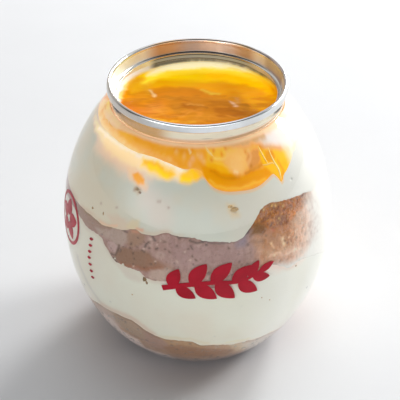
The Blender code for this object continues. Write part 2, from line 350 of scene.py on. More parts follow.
# ---- materials ---------------------------------------------------------------------------------------------
class Nodes:
    """Short ways to build one material's nodes."""

    def __init__(self, name):
        self.material = bpy.data.materials.new(name)
        self.material.use_nodes = True
        self.tree = self.material.node_tree
        self.shader = self.tree.nodes["Principled BSDF"]
        self.where = self.tree.nodes.new("ShaderNodeTexCoord").outputs["Object"]

    def node(self, kind, **inputs):
        made = self.tree.nodes.new(kind)
        for key, value in inputs.items():
            self.put(made, key.replace("_", " "), value)
        return made

    def put(self, node, key, value):
        socket = node.inputs[int(key)] if key.isdigit() else node.inputs[key]
        if isinstance(value, bpy.types.NodeSocket):
            self.tree.links.new(value, socket)
        elif isinstance(value, (tuple, list, np.ndarray)) and socket.type == "RGBA" and len(value) == 3:
            socket.default_value = (*[float(v) for v in value], 1)
        else:
            socket.default_value = value

    def stretched(self, x=1.0, y=1.0, z=1.0):
        made = self.node("ShaderNodeMapping", Vector=self.where)
        made.inputs["Scale"].default_value = (x, y, z)
        return made.outputs[0]

    def noise(self, size, detail=4.0, rough=0.55, where=None, warp=0.0):
        return self.node(
            "ShaderNodeTexNoise",
            Vector=where or self.where,
            Scale=1000.0 / size,
            Detail=detail,
            Roughness=rough,
            Distortion=warp,
        ).outputs[0]

    def cells(self, size, feature="F1", where=None, out="Distance"):
        made = self.tree.nodes.new("ShaderNodeTexVoronoi")
        made.feature = feature
        self.put(made, "Vector", where or self.where)
        self.put(made, "Scale", 1000.0 / size)
        return made.outputs[out]

    def ramp(self, value, low, high, to_low=0.0, to_high=1.0):
        made = self.tree.nodes.new("ShaderNodeMapRange")
        made.interpolation_type = "SMOOTHSTEP"
        for key, v in (("Value", value), ("From Min", low), ("From Max", high), ("To Min", to_low), ("To Max", to_high)):
            self.put(made, key, v)
        return made.outputs["Result"]

    def maths(self, operation, a, b=0.0):
        made = self.tree.nodes.new("ShaderNodeMath")
        made.operation = operation
        self.put(made, "0", a)
        self.put(made, "1", b)
        return made.outputs[0]

    def colour(self, share, a, b, blend="MIX"):
        made = self.tree.nodes.new("ShaderNodeMix")
        made.data_type, made.blend_type = "RGBA", blend
        self.put(made, "0", share)
        self.put(made, "6", a)
        self.put(made, "7", b)
        return made.outputs[2]

    def attribute(self, name, out="Color"):
        made = self.tree.nodes.new("ShaderNodeAttribute")
        made.attribute_name = name
        return made.outputs[out]

    def bump(self, height, strength, distance, normal=None):
        made = self.node("ShaderNodeBump", Height=height, Strength=strength, Distance=distance * MM)
        if normal is not None:
            self.put(made, "Normal", normal)
        return made.outputs[0]

    def finish(self, **inputs):
        for key, value in inputs.items():
            self.put(self.shader, key.replace("_", " "), value)
        return self.material


def clear_plastic():
    n = Nodes("clear_can_plastic")
    haze = n.noise(22.0, 3.0)
    fine = n.noise(3.0, 3.0)
    rough = n.maths("ADD", n.ramp(haze, 0.35, 0.75, 0.035, 0.065), n.ramp(fine, 0.55, 0.8, 0.0, 0.02))
    wave = n.bump(n.noise(30.0, 1.0), 0.06, 1.0)
    return n.finish(Base_Color=(0.985, 0.99, 0.985), Roughness=rough, Transmission_Weight=1.0, IOR=1.5, Normal=wave)


def ring_metal():
    n = Nodes("ring_aluminium")
    turned_lines = n.noise(1.6, 4.0, where=n.stretched(0.12, 0.12, 9.0))
    spots = n.noise(4.0, 4.0)
    across = n.tree.nodes.new("ShaderNodeVectorMath")
    across.operation = "LENGTH"
    n.put(across, "0", n.stretched(1.0, 1.0, 0.0))
    height = n.tree.nodes.new("ShaderNodeSeparateXYZ")
    n.put(height, "0", n.where)
    far, side = across.outputs["Value"], n.tree.nodes.new("ShaderNodeSeparateXYZ")
    n.put(side, "0", n.where)
    # the ring's inside is coloured by side as painted reflections: white at the left for the glare of the lamp on the
    # right, tan where it mirrors the mango, taupe at the back, pale at the right; the darker right back is painted
    # shade
    inner = n.colour(n.ramp(side.outputs[0], -0.019, -0.013), rgb(250, 250, 244), rgb(226, 182, 132))
    inner = n.colour(n.ramp(side.outputs[0], -0.010, -0.002), inner, rgb(204, 188, 176))
    inner = n.colour(n.ramp(side.outputs[0], 0.010, 0.016), inner, rgb(194, 162, 124))
    inner = n.colour(n.ramp(side.outputs[0], 0.0175, 0.0215), inner, rgb(240, 232, 228))
    right_back_shade = n.maths("MULTIPLY", n.ramp(side.outputs[0], 0.0225, 0.0245), n.ramp(side.outputs[1], 0.002, 0.005))
    inner = n.colour(right_back_shade, inner, rgb(206, 188, 178))
    # the seam's outer face is brightest at the front and darker at the sides, a painted reflection of the floor before
    # it
    seam_face_reflection = n.colour(n.ramp(side.outputs[0], -0.024, -0.008), rgb(214, 206, 196), rgb(246, 250, 252))
    seam_face_reflection = n.colour(n.ramp(side.outputs[0], 0.010, 0.017), seam_face_reflection, rgb(226, 228, 228))
    base = n.colour(n.ramp(far, 0.0292, 0.0300), inner, seam_face_reflection)
    base = n.colour(n.ramp(spots, 0.3, 0.8, 0.0, 0.7), base, n.colour(1.0, base, (0.86, 0.86, 0.88), "MULTIPLY"))
    # painted shade in the groove under the lip, darkest across the middle
    groove_shade = n.maths("MULTIPLY", n.ramp(height.outputs[2], 0.0959, 0.0954), n.ramp(far, 0.0271, 0.0274))
    base = n.colour(groove_shade, base, n.colour(n.ramp(n.maths("ABSOLUTE", side.outputs[0]), 0.012, 0.021), rgb(110, 102, 96), rgb(226, 222, 214)))
    # the sleeve that lines the neck is pale and dull on its outer side, a painted reflection seen through the clear
    # neck; it is tan lower down and at the left, standing in for the mango seen through the neck, darker tan at the
    # lower right as painted shade under the ring, and crossed by a thin broken dark line
    up = height.outputs[2]
    outer = n.maths("MULTIPLY", n.ramp(far, 0.02866, 0.02870), n.ramp(up, 0.09716, 0.09704))
    liner = n.maths("MAXIMUM", outer, n.maths("MULTIPLY", n.ramp(up, 0.09482, 0.09472), n.ramp(far, 0.02830, 0.02840)))
    pale = n.colour(n.ramp(up, 0.0932, 0.0944), rgb(250, 204, 160), rgb(255, 247, 222))
    pale = n.colour(n.ramp(side.outputs[0], -0.007, -0.014), pale, rgb(226, 176, 104))
    pale = n.colour(n.maths("MULTIPLY", n.ramp(side.outputs[0], 0.005, 0.010), n.ramp(up, 0.0940, 0.0934)), pale, rgb(212, 168, 118))
    pale = n.colour(n.ramp(n.noise(7.0, 2.0), 0.4, 0.7, 0.0, 0.5), pale, n.colour(1.0, pale, (0.92, 0.90, 0.88), "MULTIPLY"))
    seam = n.maths("MULTIPLY", n.ramp(n.maths("ABSOLUTE", n.maths("SUBTRACT", up, 0.09425)), 0.0, 0.0002, 1.0, 0.0), n.ramp(n.noise(9.0, 2.0), 0.42, 0.55))
    pale = n.colour(n.maths("MULTIPLY", seam, 0.6), pale, rgb(120, 100, 78))
    # its inner side is silver-blue with painted shade darkening it below the lip, painted white at the left where the
    # light falls, and greyer at the right
    inside = n.colour(n.ramp(up, 0.0938, 0.0941), rgb(176, 180, 188), rgb(94, 94, 102))
    inside = n.colour(n.ramp(up, 0.0931, 0.0928), inside, rgb(104, 98, 88))
    inside = n.colour(n.ramp(side.outputs[0], -0.0145, -0.0175), inside, rgb(250, 249, 242))
    inside = n.colour(n.ramp(side.outputs[0], 0.016, 0.022), inside, rgb(214, 206, 196))
    pale = n.colour(n.ramp(far, 0.02864, 0.02868), inside, pale)
    pale = n.colour(n.ramp(turned_lines, 0.4, 0.8, 0.0, 0.3), pale, n.colour(1.0, pale, (0.86, 0.84, 0.80), "MULTIPLY"))
    base = n.colour(liner, base, pale)
    rough = n.maths("ADD", n.ramp(turned_lines, 0.3, 0.75, 0.14, 0.20), n.ramp(spots, 0.55, 0.9, 0.0, 0.08))
    rough = n.maths("ADD", rough, n.maths("MULTIPLY", liner, 0.3))
    cone = n.maths("MULTIPLY", n.ramp(far, 0.0291, 0.0289), n.ramp(up, 0.0954, 0.0958))
    rough = n.maths("ADD", rough, n.maths("MULTIPLY", cone, 0.16))
    return n.finish(
        Base_Color=base,
        Metallic=n.maths("SUBTRACT", n.ramp(liner, 0.0, 1.0, 1.0, 0.0), n.maths("MULTIPLY", cone, 0.4)),
        Roughness=rough,
        Normal=n.bump(turned_lines, 0.08, 0.05),
    )


def cream_stuff():
    n = Nodes("cream_finish")
    tint = n.attribute("tint")
    slow = n.noise(14.0, 3.0, warp=0.4)
    fine = n.noise(2.2, 4.0)
    base = n.colour(n.ramp(slow, 0.3, 0.75, 0.0, 0.4), tint, n.colour(1.0, tint, (1.0, 0.99, 0.96), "MULTIPLY"))
    base = n.colour(n.ramp(fine, 0.55, 0.8, 0.0, 0.3), base, n.colour(1.0, base, (0.95, 0.945, 0.93), "MULTIPLY"))
    bubbles = n.cells(1.5)
    height = n.maths("ADD", n.maths("MULTIPLY", fine, 0.5), n.ramp(bubbles, 0.05, 0.25))
    # where the tint outruns what the cream can reflect, the rest glows: painted light
    return n.finish(
        Base_Color=base,
        Roughness=n.ramp(fine, 0.3, 0.8, 0.42, 0.58),
        Normal=n.bump(height, 0.12, 0.12),
        Specular_IOR_Level=0.3,
        Emission_Color=n.attribute("glow"),
        Emission_Strength=1.0,
    )


def mango_stuff():
    n = Nodes("mango_finish")
    tint = n.attribute("tint")
    pulp = n.noise(3.4, 5.0, 0.6, where=n.stretched(0.45, 1.0, 1.0), warp=0.8)
    thread = n.noise(1.1, 4.0, 0.6, where=n.stretched(0.35, 1.0, 0.8), warp=1.2)
    bare = n.ramp(n.attribute("film", "Fac"), 0.0, 1.0, 1.0, 0.0)
    base = n.colour(n.maths("MULTIPLY", n.ramp(pulp, 0.42, 0.72, 0.0, 0.35), bare), tint, n.colour(1.0, tint, (0.90, 0.80, 0.62), "MULTIPLY"))
    base = n.colour(n.maths("MULTIPLY", n.ramp(thread, 0.58, 0.78, 0.0, 0.25), bare), base, n.colour(0.3, base, rgb(255, 205, 80)))
    height = n.maths("MULTIPLY", n.maths("ADD", n.maths("MULTIPLY", pulp, 1.0), n.maths("MULTIPLY", thread, 0.35)), bare)
    # the mango glows with a fifth of its colour, and more where its tint outruns what it can reflect: painted light for
    # light passing through the puree
    return n.finish(
        Base_Color=base,
        Roughness=n.ramp(thread, 0.3, 0.8, 0.16, 0.28),
        Normal=n.bump(height, 0.16, 0.4),
        IOR=1.40,
        Specular_IOR_Level=0.10,
        Emission_Color=n.colour(1.0, n.colour(1.0, base, (0.2, 0.2, 0.2), "MULTIPLY"), n.attribute("glow"), "ADD"),
        Emission_Strength=1.0,
    )


def sponge_stuff(name, crumb):
    n = Nodes(name)
    tint = n.attribute("tint")
    bare = n.ramp(n.attribute("film", "Fac"), 0.0, 1.0, 1.0, 0.0)
    patches = n.noise(5.0, 4.0, 0.6)
    fine = n.noise(0.9, 5.0, 0.65)
    holes = n.cells(1.0)
    tiny = n.cells(0.55)
    base = n.colour(n.maths("MULTIPLY", n.ramp(patches, 0.35, 0.7, 0.0, 0.4), bare), tint, n.colour(1.0, tint, (0.92, 0.87, 0.82), "MULTIPLY"))
    base = n.colour(n.maths("MULTIPLY", n.ramp(fine, 0.45, 0.75, 0.0, 0.45), bare), base, n.colour(1.0, base, (0.76, 0.70, 0.65), "MULTIPLY"))
    lighter = n.colour(0.5, base, n.colour(1.0, base, (1.45, 1.42, 1.40), "MULTIPLY"))
    base = n.colour(n.maths("MULTIPLY", n.ramp(fine, 0.25, 0.42, 0.35, 0.0), bare), base, lighter)
    # painted shade: darker in the hollows of the cells
    dark = n.maths("MULTIPLY", n.ramp(holes, 0.05, 0.26, 0.45 * crumb, 0.0), bare)
    base = n.colour(dark, base, n.colour(1.0, base, (0.45, 0.36, 0.30), "MULTIPLY"))
    height = n.maths("ADD", n.maths("MULTIPLY", fine, 0.8), n.maths("MULTIPLY", n.ramp(tiny, 0.0, 0.5), 0.6))
    height = n.maths("MULTIPLY", height, n.ramp(bare, 0.0, 1.0, 0.15, 1.0))
    return n.finish(Base_Color=base, Roughness=n.ramp(fine, 0.2, 0.8, 0.95, 0.72), Normal=n.bump(height, 0.5, 0.22), Specular_IOR_Level=0.3)


def print_ink():
    n = Nodes("print_ink")
    cover = n.noise(5.0, 4.0)
    grainy = n.noise(0.5, 3.0)
    base = n.colour(n.ramp(cover, 0.3, 0.75), rgb(188, 8, 40), rgb(166, 4, 32))
    base = n.colour(n.ramp(grainy, 0.6, 0.85, 0.0, 0.35), base, rgb(200, 34, 60))
    return n.finish(Base_Color=base, Roughness=n.ramp(cover, 0.2, 0.8, 0.28, 0.4), Normal=n.bump(grainy, 0.1, 0.03), Specular_IOR_Level=0.25)


CLEAR, METAL, CREAM, MANGO = clear_plastic(), ring_metal(), cream_stuff(), mango_stuff()
SPONGE, SPONGE_BASE, INK = sponge_stuff("sponge_finish", 1.0), sponge_stuff("sponge_base_finish", 0.7), print_ink()


# ---- the can and its ring ----------------------------------------------------------------------------------
def can_section():
    z = BELLY_Z - SEMI_DOWN * np.cos(np.linspace(math.acos((BELLY_Z - CORNER_Z) / SEMI_DOWN), math.pi / 2, 26))
    side = [(float(ball_r(h)), float(h)) for h in z]
    top = BELLY_Z + SEMI_UP * math.sqrt(1 - ((NECK_R + 0.35) / BELLY_R) ** 2)
    z = BELLY_Z + SEMI_UP * np.sin(np.linspace(0, math.asin((top - BELLY_Z) / SEMI_UP), 27))[1:]
    side += [(float(ball_r(h)), float(h)) for h in z]
    slope = (BELLY_R / SEMI_DOWN) ** 2 * (BELLY_Z - CORNER_Z) / side[0][0]
    knee = side[0][0] - CORNER_Z * slope
    t = np.linspace(0, 1, 9)[:-1]
    corner = [((1 - s) ** 2 * FOOT_OUT_R + 2 * s * (1 - s) * knee + s * s * side[0][0], s * s * CORNER_Z) for s in t]
    under = [(0.0, PUSH_UP)] + [(r, float(base_inside(r)) - BASE_WALL) for r in (4, 8, 12, 15, 17.5, 19.5, 21, 22.2, 23)] + [(FOOT_IN_R, 0.0)]
    neck = [(NECK_R + 0.12, top + 0.3), (NECK_R + 0.02, top + 0.65), (NECK_R, top + 1.1), (NECK_R, NECK_TOP - 0.2), (NECK_R - 0.1, NECK_TOP)]
    z_in = np.linspace(NECK_TOP, 92.4, 4)
    inside = [(NECK_IN, float(h)) for h in z_in]
    top_in = BELLY_Z + (SEMI_UP - WALL) * math.sqrt(1 - (NECK_IN / (BELLY_R - WALL)) ** 2)
    z = BELLY_Z + (SEMI_UP - WALL) * np.sin(np.linspace(math.asin((top_in - BELLY_Z) / (SEMI_UP - WALL)), 0, 27))
    inside += [(float(inner_wall(h)), float(h)) for h in z if h < 92.3]
    z = np.concatenate([np.linspace(BELLY_Z, 4.0, 26)[1:], [3.4, 2.8, 2.2, 1.7, 1.3, 1.05]])
    inside += [(float(inner_wall(h)), float(h)) for h in z]
    inside += [(26.4, 0.86), (25.0, 0.80)] + [(r, float(base_inside(r))) for r in (FOOT_IN_R, 21.5, 19, 16, 12, 8, 4)]
    return under + corner + side + neck + inside + [(0.0, PUSH_UP + BASE_WALL)]


can = turned("can_wall", can_section(), 288, CLEAR, ["can"], sharp=30)
can.visible_shadow = False
can.visible_diffuse = False


def ring_section():
    seam = curve(
        [(29.22, 96.92), (29.7, 96.88), (30.12, 97.0), (30.38, 97.3), (30.45, 97.9), (30.42, 98.7), (30.36, 99.3),
         (30.16, 99.75), (29.82, 99.97), (29.42, 99.9), (29.14, 99.55), (29.0, 99.0)],
        4,
    )
    inner = curve([(29.0, 99.0), (28.9, 98.3), (28.72, 97.4), (28.52, 96.4), (28.38, 95.75), (28.1, 95.34), (27.7, 95.14), (27.35, 95.25), (27.1, 95.5), (26.96, 95.6)], 4)
    lip = curve([(26.96, 95.6), (26.89, 95.54), (26.9, 95.4), (27.02, 95.22), (27.3, 95.02), (27.7, 94.92), (28.1, 95.02)], 3)
    back = [(28.1, 95.02), (28.34, 95.0), (28.48, 94.85), (28.54, 94.5), (28.56, 93.6), (28.58, 92.68), (28.62, 92.58), (28.72, 92.58), (28.75, 92.68),
            (28.76, 93.6), (28.76, 94.4), (28.76, 95.2), (28.76, 96.0), (28.77, 96.6), (28.84, 96.86), (29.0, 96.94), (29.22, 96.92)]
    return np.concatenate([seam[:-1], inner[:-1], lip[:-1], back[:-1]])


ring = turned("rim_metal", ring_section(), 288, METAL, ["rim_ring"], sharp=60)


# ---- the layers --------------------------------------------------------------------------------------------
def layer(name, low, high, columns, rows, depth_at, tint_at, material, node, low_mid, high_mid, skin, tuck=None,
          overlap=0.0, caps=7, top=None, film_at=None):
    """One layer as a closed body.

    low and high give its heights at the wall for an array of azimuths. Its side lies skin mm inside the wall's
    thickness, less depth_at(points, phi, z, up, down), where up and down are mm to the upper and lower edge. tuck is how
    an edge rounds inwards, as (mm, depth). overlap carries the side on past its edges, behind the neighbours. top may
    give the loops of an open upper surface instead of the plain one."""
    phi = np.arange(columns) * 360.0 / columns - 180
    bottom, upper = low(phi), high(phi)
    share = np.linspace(0, 1, rows + 1)[:, None]
    z = (bottom - overlap)[None, :] * (1 - share) + (upper + (0 if top else overlap))[None, :] * share
    phis = np.broadcast_to(phi, z.shape)
    flat = at(phis, inner_wall(z), z).reshape(-1, 3)
    down, up = (z - bottom[None, :]).ravel(), (upper[None, :] - z).ravel()
    depth = depth_at(flat, phis.ravel(), z.ravel(), up, down)
    filmed = film_at(phis.ravel(), z.ravel(), flat) if film_at else 0.0
    depth = depth + 0.055 * filmed
    if tuck:
        away = np.minimum(down, np.inf if top else up)
        depth = depth + tuck[1] * np.clip(1 - away / tuck[0], 0, 2.2) ** 2 * (1 - filmed)
    r = inner_wall(z) + skin - depth.reshape(z.shape)
    side = at(phis, r, z)
    loops = []
    for k in range(1, caps + 1):
        s = math.sin(0.5 * math.pi * k / (caps + 0.7))
        loops.append(at(phi, r[0] * s, low_mid(s, z[0], r[0] * s)))
    loops += list(side)
    if top:
        loops += top(phi, r[-1], z[-1])
    else:
        for k in range(caps, 0, -1):
            s = math.sin(0.5 * math.pi * k / (caps + 0.7))
            loops.append(at(phi, r[-1] * s, high_mid(s, z[-1], r[-1] * s)))
    verts, faces = capped(loops)
    radius = np.hypot(verts[:, 0], verts[:, 1])
    where = np.degrees(np.arctan2(verts[:, 0], -verts[:, 1]))
    inside_depth = inner_wall(np.clip(verts[:, 2], 1, 92.3)) + skin - radius
    tint = tint_at(verts, where, verts[:, 2], radius, inside_depth)
    extras = {"film": film_at(where, verts[:, 2], verts)} if film_at else None
    return mesh_piece(name, verts, faces, material, [node], tint=tint, extras=extras)


def calm(middle, lean=2.0):
    return lambda share, z, r: middle + (z - middle) * share**lean


def ragged(points, size, amount, seed, fine=0.3):
    """An edge with small crumbs and waves on it."""

    def height(phi):
        z = edge(points, phi)
        p = at(phi, 44.0, z)
        return z + amount * (cloud(p, size, 3, seed) + fine * grain(p, size / 7, seed + 5))

    return height


low_sponge_top = ragged(SPONGE_LOW_TOP, 5.0, 0.45, 3, 0.4)
mid_sponge_foot = ragged(SPONGE_MID_FOOT, 5.0, 0.5, 11, 0.5)


def mid_sponge_top(phi):
    z = edge(SPONGE_MID_TOP, phi)
    p = at(phi, 44.0, z)
    crusty = ease(phi, 24, 30) * (1 - ease(phi, 58, 66))
    smooth = np.exp(-(((phi - 15) / 11) ** 2))
    return z + 0.4 * (1 - 0.85 * smooth) * (1 - 0.6 * crusty) * cloud(p, 4.5, 3, 21) + 0.22 * (1 - smooth) * grain(p, 0.9, 24) + 0.35 * crusty * grain(p, 1.2, 23)


def mango_foot(phi):
    z = edge(MANGO_FOOT, phi)
    p = at(phi, 38.0, z)
    return z + 0.22 * cloud(p, 6.0, 3, 31)


def whole(colour, count, light):
    return np.broadcast_to(rgb(*colour) / light, (count, 3)).copy()


def veiled(phi, z, p):
    """1 where a film of cream covers the thick sponge's right-hand end, as the photograph shows."""
    end = np.interp(z, [47, 49, 51, 54.3, 57.7, 61, 64, 66.8, 69, 70.4], [44, 45.5, 47.7, 49.5, 51.2, 52.5, 54, 56, 58, 62])
    start = ease(phi + 4.0 * cloud(p, 6.0, 2, 73) - end, -10.0, 9.0)
    wide = 2.6 + 3.0 * ease(phi, 30, 44)
    under = (0.75 + 0.22 * ease(phi, 32, 40)) * (1 - ease((z - edge(SPONGE_MID_FOOT, phi) + 0.8 * cloud(p, 3.0, 2, 75)) / wide, 0.0, 1.0)) * ease(phi, 24, 30) * (1 - ease(phi, 90, 100))
    return np.maximum(start, under) * (1 - ease(phi + 16 * cloud(p, 9.0, 3, 76) - 0.5 * (z - 58), 86, 98))


# -- the thin sponge in the base
def low_sponge_depth(p, phi, z, up, down):
    d, own = pits(p, 2.1, 41)
    size = 0.2 + 0.6 * own
    hole = np.clip(1 - (d / size) ** 2, 0, 1) * (own > 0.35)
    return 0.55 * hole + 0.12 * (cloud(p, 2.4, 3, 43) + 0.4) + 0.08 * (grain(p, 0.8, 44) + 0.5)


def low_sponge_tint(p, phi, z, r, depth):
    light = 0.62
    n = len(z)
    slow, quick = cloud(p, 7.0, 3, 45), cloud(p, 2.0, 3, 46)
    base = whole((148, 118, 96), n, light)
    base = mix(base, whole((130, 100, 78), n, light), 0.6 * ease(slow, -0.1, 0.4))
    base = mix(base, whole((168, 138, 112), n, light), 0.4 * ease(quick, 0.1, 0.5))
    far = ease(np.abs(phi), 60, 80)
    base = mix(base, whole((176, 138, 104), n, 0.8), far * (1 - ease(quick, 0.1, 0.5) * 0.6))
    paint = Paint(base, np.radians(phi) * 44.0, z, on_wall, light, 0.5, 40)
    paint.patch((166, 148, 138), 0.85, 1.4, (96, 304), (104, 307), (112, 312), (118, 318), (120, 326), (108, 322), (98, 313))
    paint.patch((146, 124, 105), 0.9, 0.9, (111, 312), (118, 314), (130, 319), (138, 325), (144, 330), (150, 333), (149, 340), (138, 337), (127, 331), (116, 322))
    paint.patch((145, 118, 106), 0.85, 1.0, (143, 331), (151, 334), (160, 338), (167, 341), (166, 350), (154, 348), (144, 341))
    paint.patch((156, 126, 96), 0.9, 0.8, (160, 338.5), (172, 340), (190, 341), (197, 344), (206, 346), (206, 350), (190, 347), (172, 346))
    paint.patch((134, 101, 78), 0.9, 1.0, (162, 346), (180, 345), (200, 348), (222, 348), (238, 347), (228, 354), (206, 356.5), (184, 356), (168, 352))
    paint.patch((154, 124, 98), 0.8, 0.8, (204, 345.5), (218, 346), (232, 345), (234, 349), (214, 349))
    paint.patch((176, 156, 128), 0.85, 1.4, (228, 344.5), (238, 343), (248, 341), (252, 344), (244, 350), (234, 350))
    paint.line((120, 94, 76), 0.6, 0.5, (117, 315), (130, 320.5), (138, 325.5), (144, 331), (150, 334.5), (158, 338))
    paint.line((128, 102, 78), 0.5, 0.5, (196, 344), (201, 346.5), (210, 345.5), (222, 345.5))
    paint.light = 0.85
    paint.patch((208, 198, 187), 0.9, 2.2, (242, 344), (254, 340), (268, 333), (282, 326), (292, 319), (288, 332), (270, 344), (252, 351), (244, 352))
    paint.light = light
    # a pale band along the lower left of the outline and a grey line along the bottom: painted reflections of the floor
    # in the curve of the base
    paint.patch((192, 176, 168), 0.9, 1.0, (103, 312), (111, 318.5), (121.5, 330), (138, 339.5), (145, 347.5), (158, 352), (168.5, 355), (177, 358), (168.5, 361), (154, 357), (139, 350.5), (126.5, 341), (115, 330.5), (103, 320))
    paint.line((132, 122, 124), 0.8, 1.1, (172, 360), (190, 362), (210, 362), (230, 360), (252, 354))
    tint = paint.tint
    band = 1 - ease(z + 0.4 * quick, 5.4, 8.6)  # nearest the floor the filling is greyed, a painted reflection of the shaded floor in the thick base
    tint = mix(tint, whole((136, 124, 124), n, 0.72), 0.75 * band)
    # painted shade: darker in the pits at the wall
    return mix(tint, tint * 0.45, 0.7 * ease(depth, 0.2, 0.6) * ease(r, 24, 28))


layer(
    "sponge_base_layer", lambda phi: np.full(phi.shape, 1.2), low_sponge_top, 900, 52, low_sponge_depth, low_sponge_tint,
    SPONGE_BASE, "sponge_bottom", lambda s, z, r: base_inside(r) - 0.12, calm(18.8), INTO_WALL, tuck=(0.7, 0.4),
)


# -- the thick sponge
def mid_sponge_depth(p, phi, z, up, down):
    right = ease(phi, 24, 34) * (1 - ease(phi, 120, 165))
    back = ease(np.abs(phi), 100, 125)
    crumbly = np.clip(right + back, 0, 1)
    d, own = pits(p, 1.9, 51)
    size = 0.16 + 0.42 * own**2
    hole = np.clip(1 - (d / size) ** 2, 0, 1) * (own > 0.3)
    d2, own2 = pits(p, 4.8, 55)
    size2 = 0.35 + 0.75 * own2**3
    hole2 = np.clip(1 - (d2 / size2) ** 2, 0, 1) * (own2 > 0.45)
    smooth = 0.5 * hole + 0.7 * hole2 + 0.07 * (cloud(p, 3.0, 3, 57) + 0.3) + 0.08 * (grain(p, 0.9, 58) + 0.4)
    warp = p + 0.9 * np.stack([cloud(p, 2.0, 2, 60 + k) for k in range(3)], axis=-1)
    d3, own3 = pits(warp, 1.7, 61)  # the right end is a finer, softer crumb
    d4, own4 = pits(warp, 0.85, 62)
    crumbs = 0.42 * ease(d3, 0.2, 1.2) * (0.4 + own3) + 0.22 * ease(d4, 0.1, 0.6) + 0.30 * (cloud(p, 3.2, 3, 63) + 0.35)
    crumbs = crumbs * (1 - 0.62 * right)
    covered = veiled(phi, z, p)
    smooth_dab = 1 - ease(np.hypot((phi - 25.0) / 5.0, (z - 67.3) / 2.4), 0.6, 1.2)
    depth = smooth * (1 - crumbly) + crumbs * crumbly
    return np.clip(depth * (1 - 0.85 * smooth_dab) * (1 - 0.8 * covered), 0, None)


